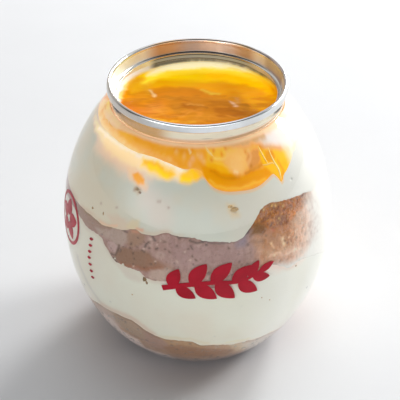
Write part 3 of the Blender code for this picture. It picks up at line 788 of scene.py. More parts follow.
def mid_sponge_tint(p, phi, z, r, depth):
    light = 0.70
    n = len(z)
    slow, quick, fine = cloud(p, 7.0, 3, 71), cloud(p, 2.2, 3, 72), grain(p, 0.75, 77)
    base = whole((158, 127, 117), n, light)
    base = mix(base, whole((144, 112, 100), n, light), 0.8 * ease(slow, -0.2, 0.4))
    base = mix(base, whole((172, 146, 136), n, light), 0.55 * ease(quick, 0.05, 0.5))
    base = mix(base, whole((112, 84, 72), n, light), 0.5 * ease(grain(p, 0.9, 85), 0.5, 0.8))
    stripes = grain(p * np.array([1.6, 1.6, 0.22]), 1.1, 78)
    base = mix(base, whole((182, 152, 140), n, light), 0.35 * ease(stripes, 0.1, 0.6))
    paint = Paint(base, np.radians(phi) * 44.0, z, on_wall, light, 0.7, 50)
    paint.patch((162, 132, 128), 0.55, 2.0, (168, 240), (200, 244), (232, 246), (246, 250), (244, 262), (220, 266), (190, 270), (172, 264))
    paint.patch((152, 120, 97), 0.85, 0.9, (124, 235), (131, 229), (142, 228), (146, 238), (139, 247), (130, 247), (125, 242))
    paint.patch((134, 100, 76), 0.92, 0.9, (114, 251), (123, 246), (134, 250), (147, 252), (153, 260), (161, 266), (152, 271), (136, 269), (123, 266), (114, 259))
    paint.patch((146, 106, 82), 0.7, 1.2, (146, 256), (160, 262), (172, 268), (166, 273), (148, 270))
    paint.line((150, 98, 72), 0.7, 0.8, (121, 265), (134, 268), (148, 269), (162, 269))
    paint.line((184, 132, 104), 0.7, 0.7, (133, 232), (142, 231))
    paint.patch((166, 145, 132), 0.85, 1.0, (110, 228), (118, 227), (125, 233), (127, 242), (122, 247), (114, 245), (109, 238))
    paint.patch((178, 152, 146), 0.75, 0.8, (107, 241), (114, 243), (119, 248), (114, 252), (108, 249))
    paint.patch((150, 122, 106), 0.9, 0.9, (78, 208), (84, 209), (96, 219), (109, 226), (109, 232), (98, 231), (88, 226), (80, 220))
    paint.patch((172, 152, 138), 0.7, 1.0, (96, 229), (104, 230), (110, 232), (108, 238), (98, 236))
    paint.line((140, 116, 88), 0.85, 0.55, (84, 211), (92, 216), (98, 222), (105, 226), (111, 227.5))
    paint.patch((180, 156, 142), 0.85, 1.0, (150, 271), (170, 269), (180, 277), (162, 283), (147, 278))
    paint.line((104, 82, 68), 0.9, 0.55, (110, 253), (115, 254), (118, 248), (119, 245))
    paint.line((104, 84, 70), 0.85, 0.5, (113, 258), (115, 262), (119, 266), (126, 269))
    for points in (((142, 232), (147, 234.5), (151, 233.5)), ((151, 236), (154, 241)), ((121, 230), (127, 232.5)), ((173, 236), (179, 239), (187, 238)),
                   ((190, 240), (193.5, 242)), ((191, 246), (192, 249)), ((195, 243.5), (204, 243)), ((145, 248), (148, 244))):
        paint.line((96, 78, 70), 0.85, 0.42, *points)
    paint.dots((96, 74, 62), 0.85, 0.42, (138, 238), (131, 244), (149, 243), (149, 249), (145, 253), (133, 254), (134, 259), (133, 265), (130, 248),
               (166, 251), (170, 253), (188, 250), (192, 257), (196, 260), (164, 243), (156, 250), (143, 252), (229, 249), (176, 246), (150, 264))
    paint.dots((196, 172, 156), 0.7, 0.42, (150, 240), (157, 246), (144, 250), (154, 262), (176, 262), (190, 262), (134, 267.5), (160, 241), (184, 252))
    paint.patch((136, 130, 146), 0.6, 1.3, (236, 243), (242, 239), (247, 234), (248, 240), (244, 247), (239, 248))
    paint.line((72, 60, 54), 0.85, 0.42, (244, 236.5), (247.6, 232.6), (251.2, 228.4), (255.2, 222.4), (259.2, 215.8))
    # a dark line under the cream's edge along the top: painted shadow
    paint.line((96, 84, 82), 0.6, 0.5, (204, 243), (222, 242.6), (236, 240.4), (244, 234.4))
    # the right-hand end: pinkish crumb, with its browned top
    right = ease(phi + 3 * quick, 22, 29) * (1 - ease(phi, 120, 165))
    crumb = mix(whole((230, 178, 142), n, 0.80), whole((202, 146, 106), n, 0.80), ease(quick + 0.4 * fine, -0.25, 0.45))
    crumb = mix(crumb, whole((250, 228, 204), n, 0.9), 0.6 * ease(fine + 0.3 * quick, 0.45, 0.75))
    crumb = mix(crumb, whole((150, 108, 82), n, 0.84), 0.5 * ease(grain(p, 1.0, 79), 0.55, 0.8))
    brown = right * (1 - ease(phi, 34, 54)) * (1 - ease(phi, 90, 100))
    crumb = crumb * (1 - brown[:, None] * np.array([0.26, 0.38, 0.46]))
    paint.tint = mix(paint.tint, crumb, right)
    paint.light = 0.76
    paint.patch((186, 140, 106), 0.75, 1.6, (250, 240), (262, 234), (276, 230), (290, 232), (284, 246), (268, 250), (256, 248))
    paint.patch((176, 122, 82), 0.75, 1.2, (268, 228), (282, 224), (290, 218), (296, 212), (300, 218), (290, 230), (276, 236), (268, 234))
    paint.patch((216, 184, 164), 0.6, 2.0, (262, 252), (280, 250), (296, 244), (300, 252), (284, 260), (264, 260))
    paint.patch((178, 152, 134), 0.5, 1.6, (292, 214), (302, 208), (306, 216), (300, 228), (292, 226))
    paint.line((196, 112, 76), 0.8, 0.55, (270, 225), (274, 231))
    paint.line((136, 98, 72), 0.45, 0.6, (252, 241), (258, 243), (264, 242))
    paint.line((240, 206, 182), 0.7, 0.5, (272, 243), (275, 248))
    paint.line((244, 214, 190), 0.75, 0.7, (284, 239), (285.5, 246))
    paint.line((240, 208, 184), 0.6, 0.6, (288, 254), (296, 250), (304, 248))
    paint.line((238, 204, 180), 0.6, 0.5, (270, 257), (276, 254), (282, 253))
    near, d = paint.distance(
        ((249, 229), (254, 221), (258, 214), (261, 209), (268, 204), (278, 202), (290, 198), (300, 195), (306, 192), (305, 200), (303, 208), (296, 214), (292, 222), (284, 224), (277, 228), (270, 229), (261, 227)), 2.0, True)
    crust = (1 - ease(d + 0.6 * quick[near] + 0.4 * fine[near], -0.6, 1.1)) * 0.95
    q, w, v, m = cloud(p[near], 2.4, 2, 83), grain(p[near], 0.7, 80), grain(p[near], 0.5, 86), len(near)
    warm = ease(paint.u[near] / 44.0, math.radians(36), math.radians(46))
    toned = mix(whole((168, 104, 34), m, 0.74), whole((192, 116, 50), m, 0.74), warm)
    toned = mix(toned, whole((132, 76, 14), m, 0.74), 0.8 * ease(q + 0.3 * w, -0.05, 0.4))
    toned = mix(toned, whole((204, 138, 66), m, 0.74), 0.7 * ease(-q + 0.6 * w, 0.35, 0.7))
    toned = mix(toned, whole((232, 196, 112), m, 0.80), 0.4 * ease(v, 0.6, 0.8) * (1 - 0.5 * warm))
    toned = mix(toned, whole((112, 60, 12), m, 0.80), 0.75 * ease(grain(p[near], 0.8, 82), 0.4, 0.7))
    toned = mix(toned, whole((112, 62, 12), m, 0.80), 0.45 * ease(grain(p[near], 0.55, 88), 0.15, 0.6))
    toned = mix(toned, whole((222, 168, 96), m, 0.80), 0.4 * ease(grain(p[near], 0.6, 89), 0.45, 0.75))
    paint.tint[near] = mix(paint.tint[near], toned, crust)
    paint.light = 0.74
    paint.line((150, 108, 50), 0.6, 0.9, (261, 210), (266, 206), (273, 204), (282, 203))
    paint.dots((236, 212, 132), 0.7, 0.34, (273, 205), (276, 206.5), (284, 206), (265, 211), (280, 219))
    paint.dots((110, 62, 26), 0.8, 0.5, (263, 207), (274, 208), (279, 208), (277, 211), (264, 222), (271, 226), (282, 223), (288, 222), (262, 221), (286, 209), (292, 200), (297, 203))
    paint.dots((214, 120, 50), 0.8, 0.6, (297, 202), (300, 199), (294, 206), (300, 205), (291, 203))
    paint.light = 0.85
    paint.line((124, 70, 56), 0.75, 0.5, (301, 197), (305, 194), (308, 191))
    paint.light = 0.74
    paint.patch((120, 78, 22), 0.9, 0.8, (251, 233), (254, 227), (258, 224), (264, 226), (267, 230), (263, 235), (257, 236), (252, 235))
    paint.dots((240, 222, 198), 0.7, 0.42, (284, 240), (285, 244), (289, 237), (296, 233), (272, 244), (274, 256), (295, 250))
    paint.dots((104, 76, 62), 0.75, 0.40, (295, 234), (297, 238), (304, 229), (288, 244), (271, 226), (299, 260), (279, 262), (267, 236), (286, 241))
    tint = paint.tint
    deep = ease(phi, 25, 29) * (1 - ease(phi, 38, 56)) * ease(z, 52, 58)
    tint = tint * (1 - deep[:, None] * np.array([0.10, 0.22, 0.42]))
    # darker and less blue near the top, from 39 to 66 degrees round
    top_darkening = ease(phi, 39, 45) * (1 - ease(phi, 56, 66)) * ease(z - edge(SPONGE_MID_TOP, phi), -6.0, -3.5)
    tint = tint * (1 - top_darkening[:, None] * np.array([0.36, 0.36, 0.46]))
    back = ease(np.abs(phi) + 6 * slow, 92, 112)
    rear = mix(whole((200, 158, 130), n, 0.95), whole((168, 122, 92), n, 0.95), ease(quick + 0.5 * fine, -0.3, 0.35))
    rear = mix(rear, whole((232, 204, 176), n, 0.95), 0.7 * ease(fine, 0.45, 0.7))
    tint = mix(tint, rear, back)
    # painted shade: darker in the holes at the wall, less so in the crumbly right end
    hollow = ease(depth, 0.16, 0.7) * ease(r, 36, 40)
    tint = mix(tint, tint * 0.42 * np.array([1.0, 0.88, 0.78]), (0.8 - 0.6 * right * (1 - back)) * hollow)
    veil = veiled(phi, z, p)
    film = mix(whole((236, 235, 227), n, 0.95), whole((206, 192, 183), n, 0.95), (0.35 + 0.65 * ease(quick, -0.2, 0.4)) * (1 - ease(phi, 54, 68)) * ease(z, 49, 54))
    return mix(tint, film, 0.98 * veil)


layer(
    "sponge_middle_layer", mid_sponge_foot, mid_sponge_top, 1100, 68, mid_sponge_depth, mid_sponge_tint, SPONGE,
    "sponge_middle", calm(50.5), calm(67.0), INTO_WALL, tuck=(0.75, 0.42), caps=5, film_at=veiled,
)


# -- the cream
def cream_depth(p, phi, z, up, down):
    d, own = pits(p, 5.2, 81)
    size = 0.25 + 0.5 * own
    hole = np.clip(1 - (d / size) ** 2, 0, 1) * (own > 0.72)
    past = np.clip(-np.minimum(up, down) - 0.3, 0, None)
    return 0.25 * hole + 0.35 * past


def lower_cream_tint(p, phi, z, r, depth):
    light = 0.74
    n = len(z)
    slow, quick = cloud(p, 16.0, 3, 83), cloud(p, 3.0, 3, 84)
    base = whole((211, 210, 194), n, light)
    base = mix(base, whole((208, 200, 182), n, light), ease(slow + 0.5 * (1 - ease(phi, -50, -20)), -0.3, 0.7) * 0.7)
    base = mix(base, whole((228, 227, 216), n, 0.8), ease(phi, 14, 40) * (1 - ease(phi, 40, 60)))
    base = mix(base, whole((234, 234, 225), n, 0.96), ease(phi, 40, 60) * (1 - ease(phi, 100, 160)))
    base = mix(base, whole((222, 219, 204), n, 0.92), ease(np.abs(phi), 100, 150))
    foot, low = edge(SPONGE_MID_FOOT, phi), edge(SPONGE_LOW_TOP, phi)
    base = mix(base, whole((214, 186, 152), n, 0.8), 0.35 * np.exp(-((np.clip(z - low, 0, None) / 0.7) ** 2)) * ease(quick, -0.4, 0.3))
    base = mix(base, whole((198, 178, 158), n, 0.8), 0.35 * np.exp(-((np.clip(foot - z, 0, None) / 0.9) ** 2)) * (phi < 45))
    paint = Paint(base, np.radians(phi) * 44.0, z, on_wall, light, 0.6, 60)
    paint.patch((226, 204, 190), 0.8, 2.6, (262, 258), (276, 262), (292, 258), (302, 252), (304, 258), (296, 266), (280, 271), (264, 270))
    # a pinkish painted shadow under the thick sponge
    paint.patch((204, 184, 170), 0.6, 1.8, (142, 276), (160, 282), (200, 288), (240, 286), (264, 278), (262, 266), (240, 262), (200, 270), (160, 272))
    paint.patch((196, 178, 162), 0.45, 1.2, (118, 268), (132, 272), (146, 280), (138, 284), (124, 276))
    paint.line((200, 178, 158), 0.75, 1.5, (102, 304.5), (112, 310.5), (120, 313.5), (130, 317.5), (137, 322), (144, 327.5), (152, 333))
    # a grey line down the left outline: painted shade where the clear wall turns away
    paint.line((172, 166, 158), 0.4, 1.2, (77, 257), (80, 266), (84, 276), (88.5, 285), (93.5, 293), (98.5, 300))
    paint.line((206, 192, 160), 0.5, 0.7, (160, 336.5), (172, 338), (190, 338.5), (198, 341), (208, 343))
    paint.line((214, 202, 168), 0.6, 0.6, (226, 343), (238, 341), (249, 338.5))
    # painted shade: darker in the pits at the wall
    return mix(paint.tint, paint.tint * 0.7, 0.6 * ease(depth, 0.25, 0.45) * ease(r, 30, 34))


layer(
    "cream_lower_layer", lambda phi: edge(SPONGE_LOW_TOP, phi), lambda phi: edge(SPONGE_MID_FOOT, phi), 700, 70, cream_depth,
    lower_cream_tint, CREAM, "cream_lower", calm(18.8), calm(50.5), CREAM_IN, overlap=1.5,
)


def upper_cream_tint(p, phi, z, r, depth):
    light = 0.72
    n = len(z)
    slow, quick = cloud(p, 13.0, 3, 91), cloud(p, 3.5, 3, 93)
    base = whole((198, 200, 186), n, light)
    base = mix(base, whole((206, 194, 170), n, light), 0.85 * ease(slow + 0.8 * (1 - ease(phi, -50, -10)), 0.0, 0.9))
    base = mix(base, whole((206, 200, 184), n, light), 0.7 * ease(phi, 8, 20) * (1 - ease(phi, 100, 160)))
    base = mix(base, whole((236, 235, 226), n, 1.04), ease(phi, 26, 52) * (1 - ease(phi, 100, 160)))
    base = mix(base, whole((222, 218, 200), n, 0.92), ease(np.abs(phi), 100, 150))
    foot, top = edge(MANGO_FOOT, phi), edge(SPONGE_MID_TOP, phi)
    base = mix(base, whole((202, 172, 140), n, 0.8), 0.5 * np.exp(-((np.clip(z - top, 0, None) / 1.1) ** 2)) * (1 - ease(phi, -12, 2)) * ease(quick, -0.5, 0.2))
    back = ease(np.abs(phi), 80, 100)
    under = np.clip(foot - z + 0.6 * quick, 0, None)
    base = mix(base, whole((250, 214, 156), n, 0.98), 0.8 * back * (1 - ease(under, 0.4, 3.0)))
    paint = Paint(base, np.radians(phi) * 44.0, z, on_wall, light, 0.55, 70)
    paint.patch((216, 198, 184), 0.55, 3.2, (141, 192), (150, 188), (160, 194), (170, 200), (172, 212), (171, 226), (161, 230), (150, 226), (146, 212), (139, 204))
    paint.patch((208, 190, 152), 0.75, 0.9, (125, 225), (133, 219), (139, 221), (139, 230), (130, 232))
    paint.patch((204, 180, 156), 0.6, 1.0, (106, 214), (118, 216), (128, 222), (124, 230), (112, 226))
    paint.line((210, 150, 116), 0.7, 0.5, (137, 229.5), (142, 231))
    paint.line((216, 176, 140), 0.7, 0.5, (100, 222), (108, 226), (116, 226.5))
    # the mango smeared on the left shoulder is set brighter than it can reflect, so it glows: painted light for light
    # passing through it
    paint.light = 0.62
    paint.patch((250, 208, 168), 0.6, 2.6, (98, 138), (112, 151), (128, 162), (142, 172), (152, 180), (140, 184), (124, 174), (106, 160), (94, 147))
    paint.patch((254, 226, 176), 0.93, 1.3, (94, 116), (102, 127), (110, 136), (124, 147), (138, 155), (152, 159), (166, 162), (180, 169), (196, 178), (188, 182), (170, 181), (152, 177), (140, 171), (122, 161), (106, 148), (96, 134))
    paint.patch((252, 216, 160), 0.45, 1.3, (104, 140), (122, 153), (138, 163), (134, 169), (118, 160), (102, 148))
    paint.line((255, 240, 214), 0.9, 0.6, (98, 128), (112, 140), (126, 150.5), (141, 157), (156, 159.5), (168, 163.5), (182, 171), (192, 178))
    paint.patch((248, 180, 50), 0.9, 1.0, (188, 169), (196, 165), (207, 170), (206, 179), (196, 180))
    paint.patch((252, 200, 8), 0.95, 1.1, (142, 160), (150, 161), (160, 165), (170, 170), (176, 176), (171, 180), (163, 178), (154, 174), (147, 170), (141, 166))
    paint.line((255, 216, 0), 0.8, 0.8, (149, 166), (157, 171), (166, 176))
    paint.line((246, 190, 20), 0.6, 0.5, (144, 163), (152, 164), (162, 169))
    paint.patch((252, 200, 8), 0.95, 1.1, (180, 177), (184, 172), (191, 169), (198, 172), (200, 177), (195, 182), (188, 184), (181, 183))
    paint.line((252, 216, 0), 0.7, 0.7, (182, 180), (189, 181.5))
    paint.patch((244, 196, 140), 0.6, 1.4, (127, 169), (136, 170), (142, 177), (147, 187), (143, 190), (136, 184), (129, 178))
    paint.patch((236, 160, 0), 0.98, 0.6, (131.8, 173.8), (138, 173), (141.8, 177.5), (144.6, 181), (143.6, 186), (138, 186), (133.2, 181.5))
    paint.line((236, 186, 150), 0.6, 0.7, (140, 186), (146, 190))
    fringe = (1 - ease(foot - z, 0.1, 0.75)) * ease(phi, 2, 6) * (1 - ease(phi, 44, 47))
    paint.tint = mix(paint.tint, whole((236, 190, 136), n, 0.78), 0.6 * fringe)
    paint.light = 0.75
    paint.patch((214, 190, 146), 0.8, 1.3, (227, 205), (234, 204), (239, 210), (239, 217), (233, 219), (228, 213))
    paint.patch((228, 204, 150), 0.85, 0.6, (228, 206), (231.5, 205), (234, 207), (233, 210), (229.5, 210))
    paint.patch((150, 128, 92), 0.85, 0.55, (230, 211), (232.5, 209), (236, 209), (238, 211.5), (236, 214), (232, 213.5))
    paint.dots((138, 104, 64), 0.8, 0.55, (135.5, 189), (138.5, 192), (134.5, 190.5))
    paint.patch((196, 168, 128), 0.6, 0.8, (133, 187), (138, 188), (141, 193), (138, 195), (134, 192))
    paint.dots((176, 152, 132), 0.7, 0.5, (157, 201), (160, 201.5), (168, 209), (101, 204), (116, 208))
    # painted shade: darker in the pits at the wall
    return mix(paint.tint, paint.tint * 0.7, 0.6 * ease(depth, 0.25, 0.45) * ease(r, 30, 34))


layer(
    "cream_upper_layer", lambda phi: edge(SPONGE_MID_TOP, phi), lambda phi: edge(MANGO_FOOT, phi), 1000, 66, cream_depth,
    upper_cream_tint, CREAM, "cream_upper", calm(67.0), calm(84.5), CREAM_IN, overlap=1.5,
)


# -- the mango
def sunk(x, y):
    """How far the open top has settled, in mm: least behind the front of the ring, most at the back left."""
    return 1.05 * ease(y, -24, -13) + 0.55 * ease(0.45 * y - 0.9 * x, 6, 26)


def mango_height(x, y):
    """The open top: level, with pulp, slow waves from the spoon, and a thin lip where it clings to the neck."""
    flat = np.stack([x, y, np.zeros_like(x)], axis=-1).reshape(-1, 3)
    warp = 2.2 * cloud(flat, 9.0, 2, 101)
    long_waves = flat * np.array([0.42, 1.0, 1.0]) + warp[:, None] * np.array([0.3, 1.0, 0.0])
    swirl = cloud(long_waves, 4.6, 3, 103)
    ridges = (1 - np.abs(cloud(long_waves, 5.5, 2, 107))) ** 6
    small = cloud(flat * np.array([0.6, 1.0, 1.0]), 1.6, 3, 109)
    r = np.hypot(x, y).reshape(-1)
    near_front = 0.35 + 0.65 * (1 - ease(flat[:, 1], -2, 16))
    rise = near_front * (0.26 * swirl + 0.14 * ridges) + 0.02 * small
    fade = 1 - ease(r, 24.5, 28.4)
    lip = 0.30 * ease(r, 26.6, 28.8) ** 2
    return (rise * fade + lip).reshape(x.shape) - sunk(x, y)


def mango_loops(phi, r, z):
    loops = []
    steps = 60
    wall = at(phi, 28.9, 0.0)
    lowered = sunk(wall[:, 0], wall[:, 1])
    for k in range(steps - 1, 0, -1):
        s = k / steps
        rr = r * s
        q = at(phi, rr, 0.0)
        height = MANGO_TOP + mango_height(q[:, 0], q[:, 1])
        loops.append(at(phi, rr, height * (1 - s**14) + (z - lowered) * s**14 + lowered * ease(rr, 28.1, 28.55)))
    return loops


def mango_depth(p, phi, z, up, down):
    return 0.05 * (cloud(p, 3.0, 3, 111) + 0.5)


def mango_film_and_glare(phi, z, p):
    """1 where pale cream is smeared over the mango round the right side, and where a painted highlight, the glare of a
    lamp on the wall, lies at the right of the neck.
    """
    side = Paint(np.zeros((len(z), 3)), np.radians(phi) * 44.0, z, on_wall, 1.0, 0.45, 80)
    side.patch((255, 255, 255), 1.0, 1.8, (254, 142), (262, 133), (274, 124), (284, 119), (292, 116), (299, 124), (298, 136), (291, 147), (284, 149), (274, 147), (264, 147))
    return np.maximum(side.tint[:, 0], ease(phi, 50, 62) * (1 - ease(np.abs(phi), 100, 122))) * ease(np.hypot(p[:, 0], p[:, 1]), 28.7, 28.9)


def mango_tint(p, phi, z, r, depth):
    light = 0.82
    n = len(z)
    quick, slow = cloud(p, 2.2, 3, 121), cloud(p * np.array([0.5, 0.5, 1.0]), 5.0, 3, 123)
    base = whole((240, 164, 48), n, light)
    base = mix(base, whole((232, 148, 24), n, light), 0.8 * ease(slow, -0.2, 0.4))
    base = mix(base, whole((250, 190, 96), n, light), 0.5 * ease(quick, 0.05, 0.4))
    # the left shoulder is painted brighter than the light there, so that it glows: painted light for light passing
    # through the mango
    paint = Paint(base, np.radians(phi) * 44.0, z, on_wall, 0.76, 0.45, 80)
    paint.patch((250, 202, 134), 0.95, 0.9, (90, 108), (100, 98), (110, 100), (118, 116), (128, 130), (140, 142), (150, 150), (140, 158), (125, 150), (110, 139), (98, 126))
    paint.patch((252, 220, 176), 0.85, 0.9, (84, 116), (94, 103), (99, 118), (108, 132), (122, 146), (138, 157), (128, 158), (112, 146), (96, 132))
    paint.patch((238, 180, 106), 0.8, 0.7, (102, 109), (110, 111), (118, 122), (122, 133), (112, 132), (104, 122))
    paint.patch((244, 176, 60), 0.85, 0.8, (119, 125), (132, 134), (142, 141), (150, 150), (140, 153), (128, 144), (119, 135))
    paint.line((216, 162, 30), 0.8, 0.9, (110, 104), (116, 112), (124, 121), (133, 128))
    paint.line((255, 210, 92), 0.95, 0.75, (107, 103), (113, 112), (121, 123), (129, 130.5), (136, 136))
    paint.light = light
    paint.patch((244, 194, 150), 0.95, 1.8, (136, 131), (160, 138), (185, 141), (215, 142), (240, 140), (262, 133), (262, 141), (240, 146), (215, 149.5), (190, 149.5), (165, 146.5), (143, 140))
    paint.patch((250, 182, 104), 0.85, 1.5, (132, 143), (150, 151), (160, 157), (172, 160), (177, 167), (165, 163), (150, 158), (140, 153))
    paint.patch((240, 160, 46), 0.8, 0.8, (172, 155), (190, 156), (202, 160), (206, 170), (196, 172), (182, 167), (172, 163))
    paint.line((236, 158, 26), 0.8, 1.4, (124, 126), (131, 134), (140, 141), (152, 147), (165, 150.5), (180, 152.5), (196, 152.5), (210, 152))
    paint.line((210, 134, 16), 0.6, 0.6, (174, 150.5), (184, 153), (192, 152))
    paint.dots((238, 176, 116), 0.8, 0.9, (193, 160), (190, 165), (201, 158))
    paint.patch((248, 186, 56), 0.8, 0.9, (206, 149), (216, 149.5), (232, 146), (238, 150), (232, 158), (222, 163), (208, 162))
    # a painted highlight
    paint.line((252, 204, 110), 0.6, 0.5, (214, 159), (222, 160.5), (229, 157))
    paint.line((255, 206, 60), 0.7, 0.9, (208, 166), (218, 166), (230, 170))
    paint.patch((233, 150, 2), 0.97, 0.7, (199, 164), (214, 165), (232, 169), (245, 173), (262, 168), (275, 166), (280, 172), (275, 178), (262, 183), (250, 188), (236, 191), (222, 191), (211, 186), (204, 176))
    paint.patch((250, 180, 22), 0.75, 0.6, (204, 165), (214, 164), (228, 169), (236, 173), (228, 175), (214, 171))
    paint.line((212, 134, 4), 0.85, 0.8, (211, 171), (220, 177.5), (229, 180), (239, 178))
    paint.line((224, 146, 4), 0.7, 0.8, (238, 184), (250, 181), (262, 175), (272, 171))
    paint.line((250, 178, 50), 0.8, 0.5, (210, 181), (217, 186.5), (228, 189.5), (240, 189), (253, 185), (265, 179.5))
    paint.patch((240, 182, 104), 0.85, 1.4, (227, 152), (240, 148), (252, 148), (260, 152), (259, 161), (251, 169), (241, 175), (230, 171), (223, 162))
    # painted highlight on the chunk
    paint.patch((244, 192, 120), 0.5, 1.5, (232, 160), (238, 156), (243, 160), (240, 170), (235, 174), (231, 168))
    paint.patch((208, 138, 72), 0.85, 0.6, (248, 153), (258, 150), (263, 156), (259, 165), (250, 170), (247, 161))
    paint.line((240, 186, 120), 0.5, 0.6, (249, 150), (252, 157), (249, 164))
    paint.patch((246, 190, 116), 0.75, 1.4, (233, 166), (243, 166), (246, 173), (238, 176))
    paint.line((188, 112, 34), 0.6, 0.6, (246, 175), (250, 172), (259, 167), (265, 163.5))
    # a painted highlight
    paint.line((255, 214, 160), 0.6, 0.5, (235, 172.5), (238, 174))
    paint.light = 0.9
    paint.patch((252, 186, 30), 0.95, 0.6, (261, 149), (272, 147), (282, 150), (292, 152), (295, 158), (289, 168), (284, 177), (281, 183), (276, 177), (270, 171), (263, 165), (260, 156))
    paint.patch((222, 142, 36), 0.75, 0.5, (265, 152), (273, 150), (276, 158), (272, 164), (266, 161))
    paint.line((226, 140, 30), 0.6, 0.5, (279, 162), (284, 170), (282, 178))
    paint.patch((252, 206, 150), 0.65, 1.3, (285, 150), (294, 147), (297, 139), (299, 129), (303, 126), (302, 144), (297, 158), (290, 165))
    # painted highlight: the whitish glare of a lamp on the wall at the right of the neck
    paint.light = 1.08
    paint.patch((244, 236, 230), 0.97, 1.8, (257, 140), (264, 133), (274, 126), (284, 121), (292, 119), (297, 124), (296, 136), (291, 145), (284, 148), (274, 146), (266, 146))
    paint.light = 0.9
    paint.line((196, 134, 84), 0.5, 0.9, (261, 148), (268, 147), (275, 148), (281, 149.5))
    # two short painted highlights
    for points in (((188.5, 150.5), (190.5, 154)), ((206, 147.5), (208.5, 151), (211.5, 155.5))):
        paint.line((250, 214, 150), 0.75, 0.34, *points)
    paint.dots((244, 190, 120), 0.5, 0.9, (176, 154), (184, 157), (198, 156), (203, 163))
    paint.dots((196, 118, 30), 0.6, 0.6, (214, 152), (222, 156), (212, 161), (226, 150), (246, 152), (252, 166), (262, 152))
    # a darker tan line under the ring at the right: painted shadow
    paint.light = 0.86
    paint.line((200, 156, 106), 0.8, 1.3, (222, 142.5), (236, 141), (250, 138), (260, 134))
    far = whole((250, 238, 224), n, 1.0)
    tint = mix(paint.tint, far, 0.92 * ease(phi, 50, 62) * (1 - ease(np.abs(phi), 100, 122)) * (0.75 + 0.25 * ease(quick, -0.3, 0.3)))
    foot = edge(MANGO_FOOT, phi)
    tint = mix(tint, whole((248, 200, 132), n, 0.95), 0.6 * np.exp(-((np.clip(z - foot, 0, None) / 0.45) ** 2)) * (1 - ease(phi, 40, 50)))
    # darker round the back, against the stronger light there: painted shade
    behind = ease(np.abs(phi), 105, 135)
    tint = tint * (1 - 0.25 * behind)[:, None]
    # the open top: pale and yellow at the back, amber in front, painted light for the light from behind shining through
    # the puree
    front = Paint(whole((226, 136, 4), n, 1.18), p[:, 0], p[:, 1], on_top, 1.18, 0.8, 90)
    x, y = p[:, 0], p[:, 1] + 1.2 * cloud(p * np.array([0.35, 1.0, 0.0]), 6.0, 3, 127)
    front.tint = mix(front.tint, whole((250, 160, 0), n, 1.14), ease(y, -3, 6))
    front.tint = mix(front.tint, whole((254, 182, 0), n, 1.06), ease(y, 7, 12))
    front.tint = mix(front.tint, whole((255, 206, 0), n, 0.78), ease(y + 0.15 * x, 12, 17))
    # brighter patches towards the back right: painted light against the ring's shadow there
    front.light = 0.9
    front.patch((254, 166, 0), 0.9, 2.5, (196, 84), (222, 82), (246, 84), (246, 92), (222, 95), (200, 92))
    front.light = 0.66
    front.patch((255, 192, 0), 0.9, 3.0, (206, 72), (228, 71), (252, 70), (270, 82), (278, 98), (272, 104), (262, 96), (246, 84), (224, 80), (206, 80))
    front.light = 0.72
    front.patch((250, 168, 16), 0.9, 3.0, (240, 88), (262, 90), (276, 98), (276, 106), (264, 112), (250, 108), (240, 100))
    front.light = 1.18
    front.patch((228, 136, 14), 0.9, 2.0, (142, 90), (166, 86), (196, 88), (214, 94), (212, 104), (186, 108), (160, 104), (146, 98))
    front.patch((214, 132, 18), 0.9, 2.0, (166, 96), (196, 96), (224, 100), (246, 106), (250, 116), (226, 122), (196, 121), (176, 112))
    front.patch((232, 148, 0), 0.9, 1.6, (126, 90), (140, 86), (152, 94), (150, 104), (134, 102))
    front.patch((254, 190, 20), 0.8, 1.5, (124, 84), (140, 76), (150, 80), (146, 88), (132, 92))
    front.patch((246, 176, 30), 0.7, 1.3, (142, 82), (149, 80), (152, 90), (147, 94))
    front.patch((222, 122, 22), 0.8, 1.6, (122, 98), (136, 106), (160, 118), (150, 122), (130, 112), (120, 104))
    front.patch((244, 158, 20), 0.5, 2.0, (232, 98), (244, 100), (248, 110), (236, 110))
    front.patch((230, 140, 60), 0.5, 2.0, (146, 104), (162, 102), (166, 112), (152, 116), (142, 110))
    front.patch((186, 106, 8), 0.75, 1.3, (166, 106), (184, 103), (200, 106), (196, 112), (176, 114))
    front.patch((198, 112, 8), 0.8, 1.5, (212, 108), (230, 106), (246, 112), (240, 118), (220, 118))
    front.line((170, 96, 8), 0.6, 0.8, (184, 106), (196, 104), (206, 108))
    front.line((240, 160, 56), 0.6, 0.8, (150, 105), (158, 111), (166, 116), (178, 117), (190, 113), (200, 110))
    front.line((238, 150, 44), 0.6, 0.9, (182, 112), (192, 111), (201, 114), (196, 119))
    front.line((244, 170, 70), 0.5, 0.5, (186, 104.5), (196, 104), (204, 106))
    front.line((255, 214, 70), 0.7, 0.7, (202, 90), (210, 93), (218, 94))
    front.line((242, 158, 44), 0.6, 0.7, (226, 116), (236, 118), (246, 116), (254, 111))
    front.line((255, 200, 60), 0.6, 0.7, (150, 118), (170, 121.5), (196, 122.5))
    # small painted highlights, the second with an orange tail
    front.line((255, 214, 150), 0.9, 0.6, (150.5, 90), (153.5, 93), (154, 96.5))
    front.line((255, 206, 160), 0.95, 0.7, (231, 102.5), (233.5, 104), (236, 106.5))
    front.line((250, 176, 90), 0.7, 0.9, (236, 98), (238, 103))
    # a yellow band and a pale crescent round the back: painted reflection of the ring, bright enough to glow
    front.light = 0.66
    front.light = 0.64
    front.patch((252, 224, 60), 0.9, 2.6, (144, 82), (148, 73), (158, 66), (176, 60), (200, 57), (226, 58), (250, 64), (266, 74), (274, 84), (262, 80), (248, 76), (228, 73), (200, 72), (176, 73), (158, 76), (146, 82))
    front.patch((255, 246, 214), 0.97, 2.0, (148, 74), (152, 69), (162, 63), (180, 58), (200, 56), (226, 57), (250, 63), (268, 74), (262, 75), (248, 71.5), (230, 68.5), (214, 67.5), (196, 67.5), (180, 68.5), (168, 69.5), (157, 72))
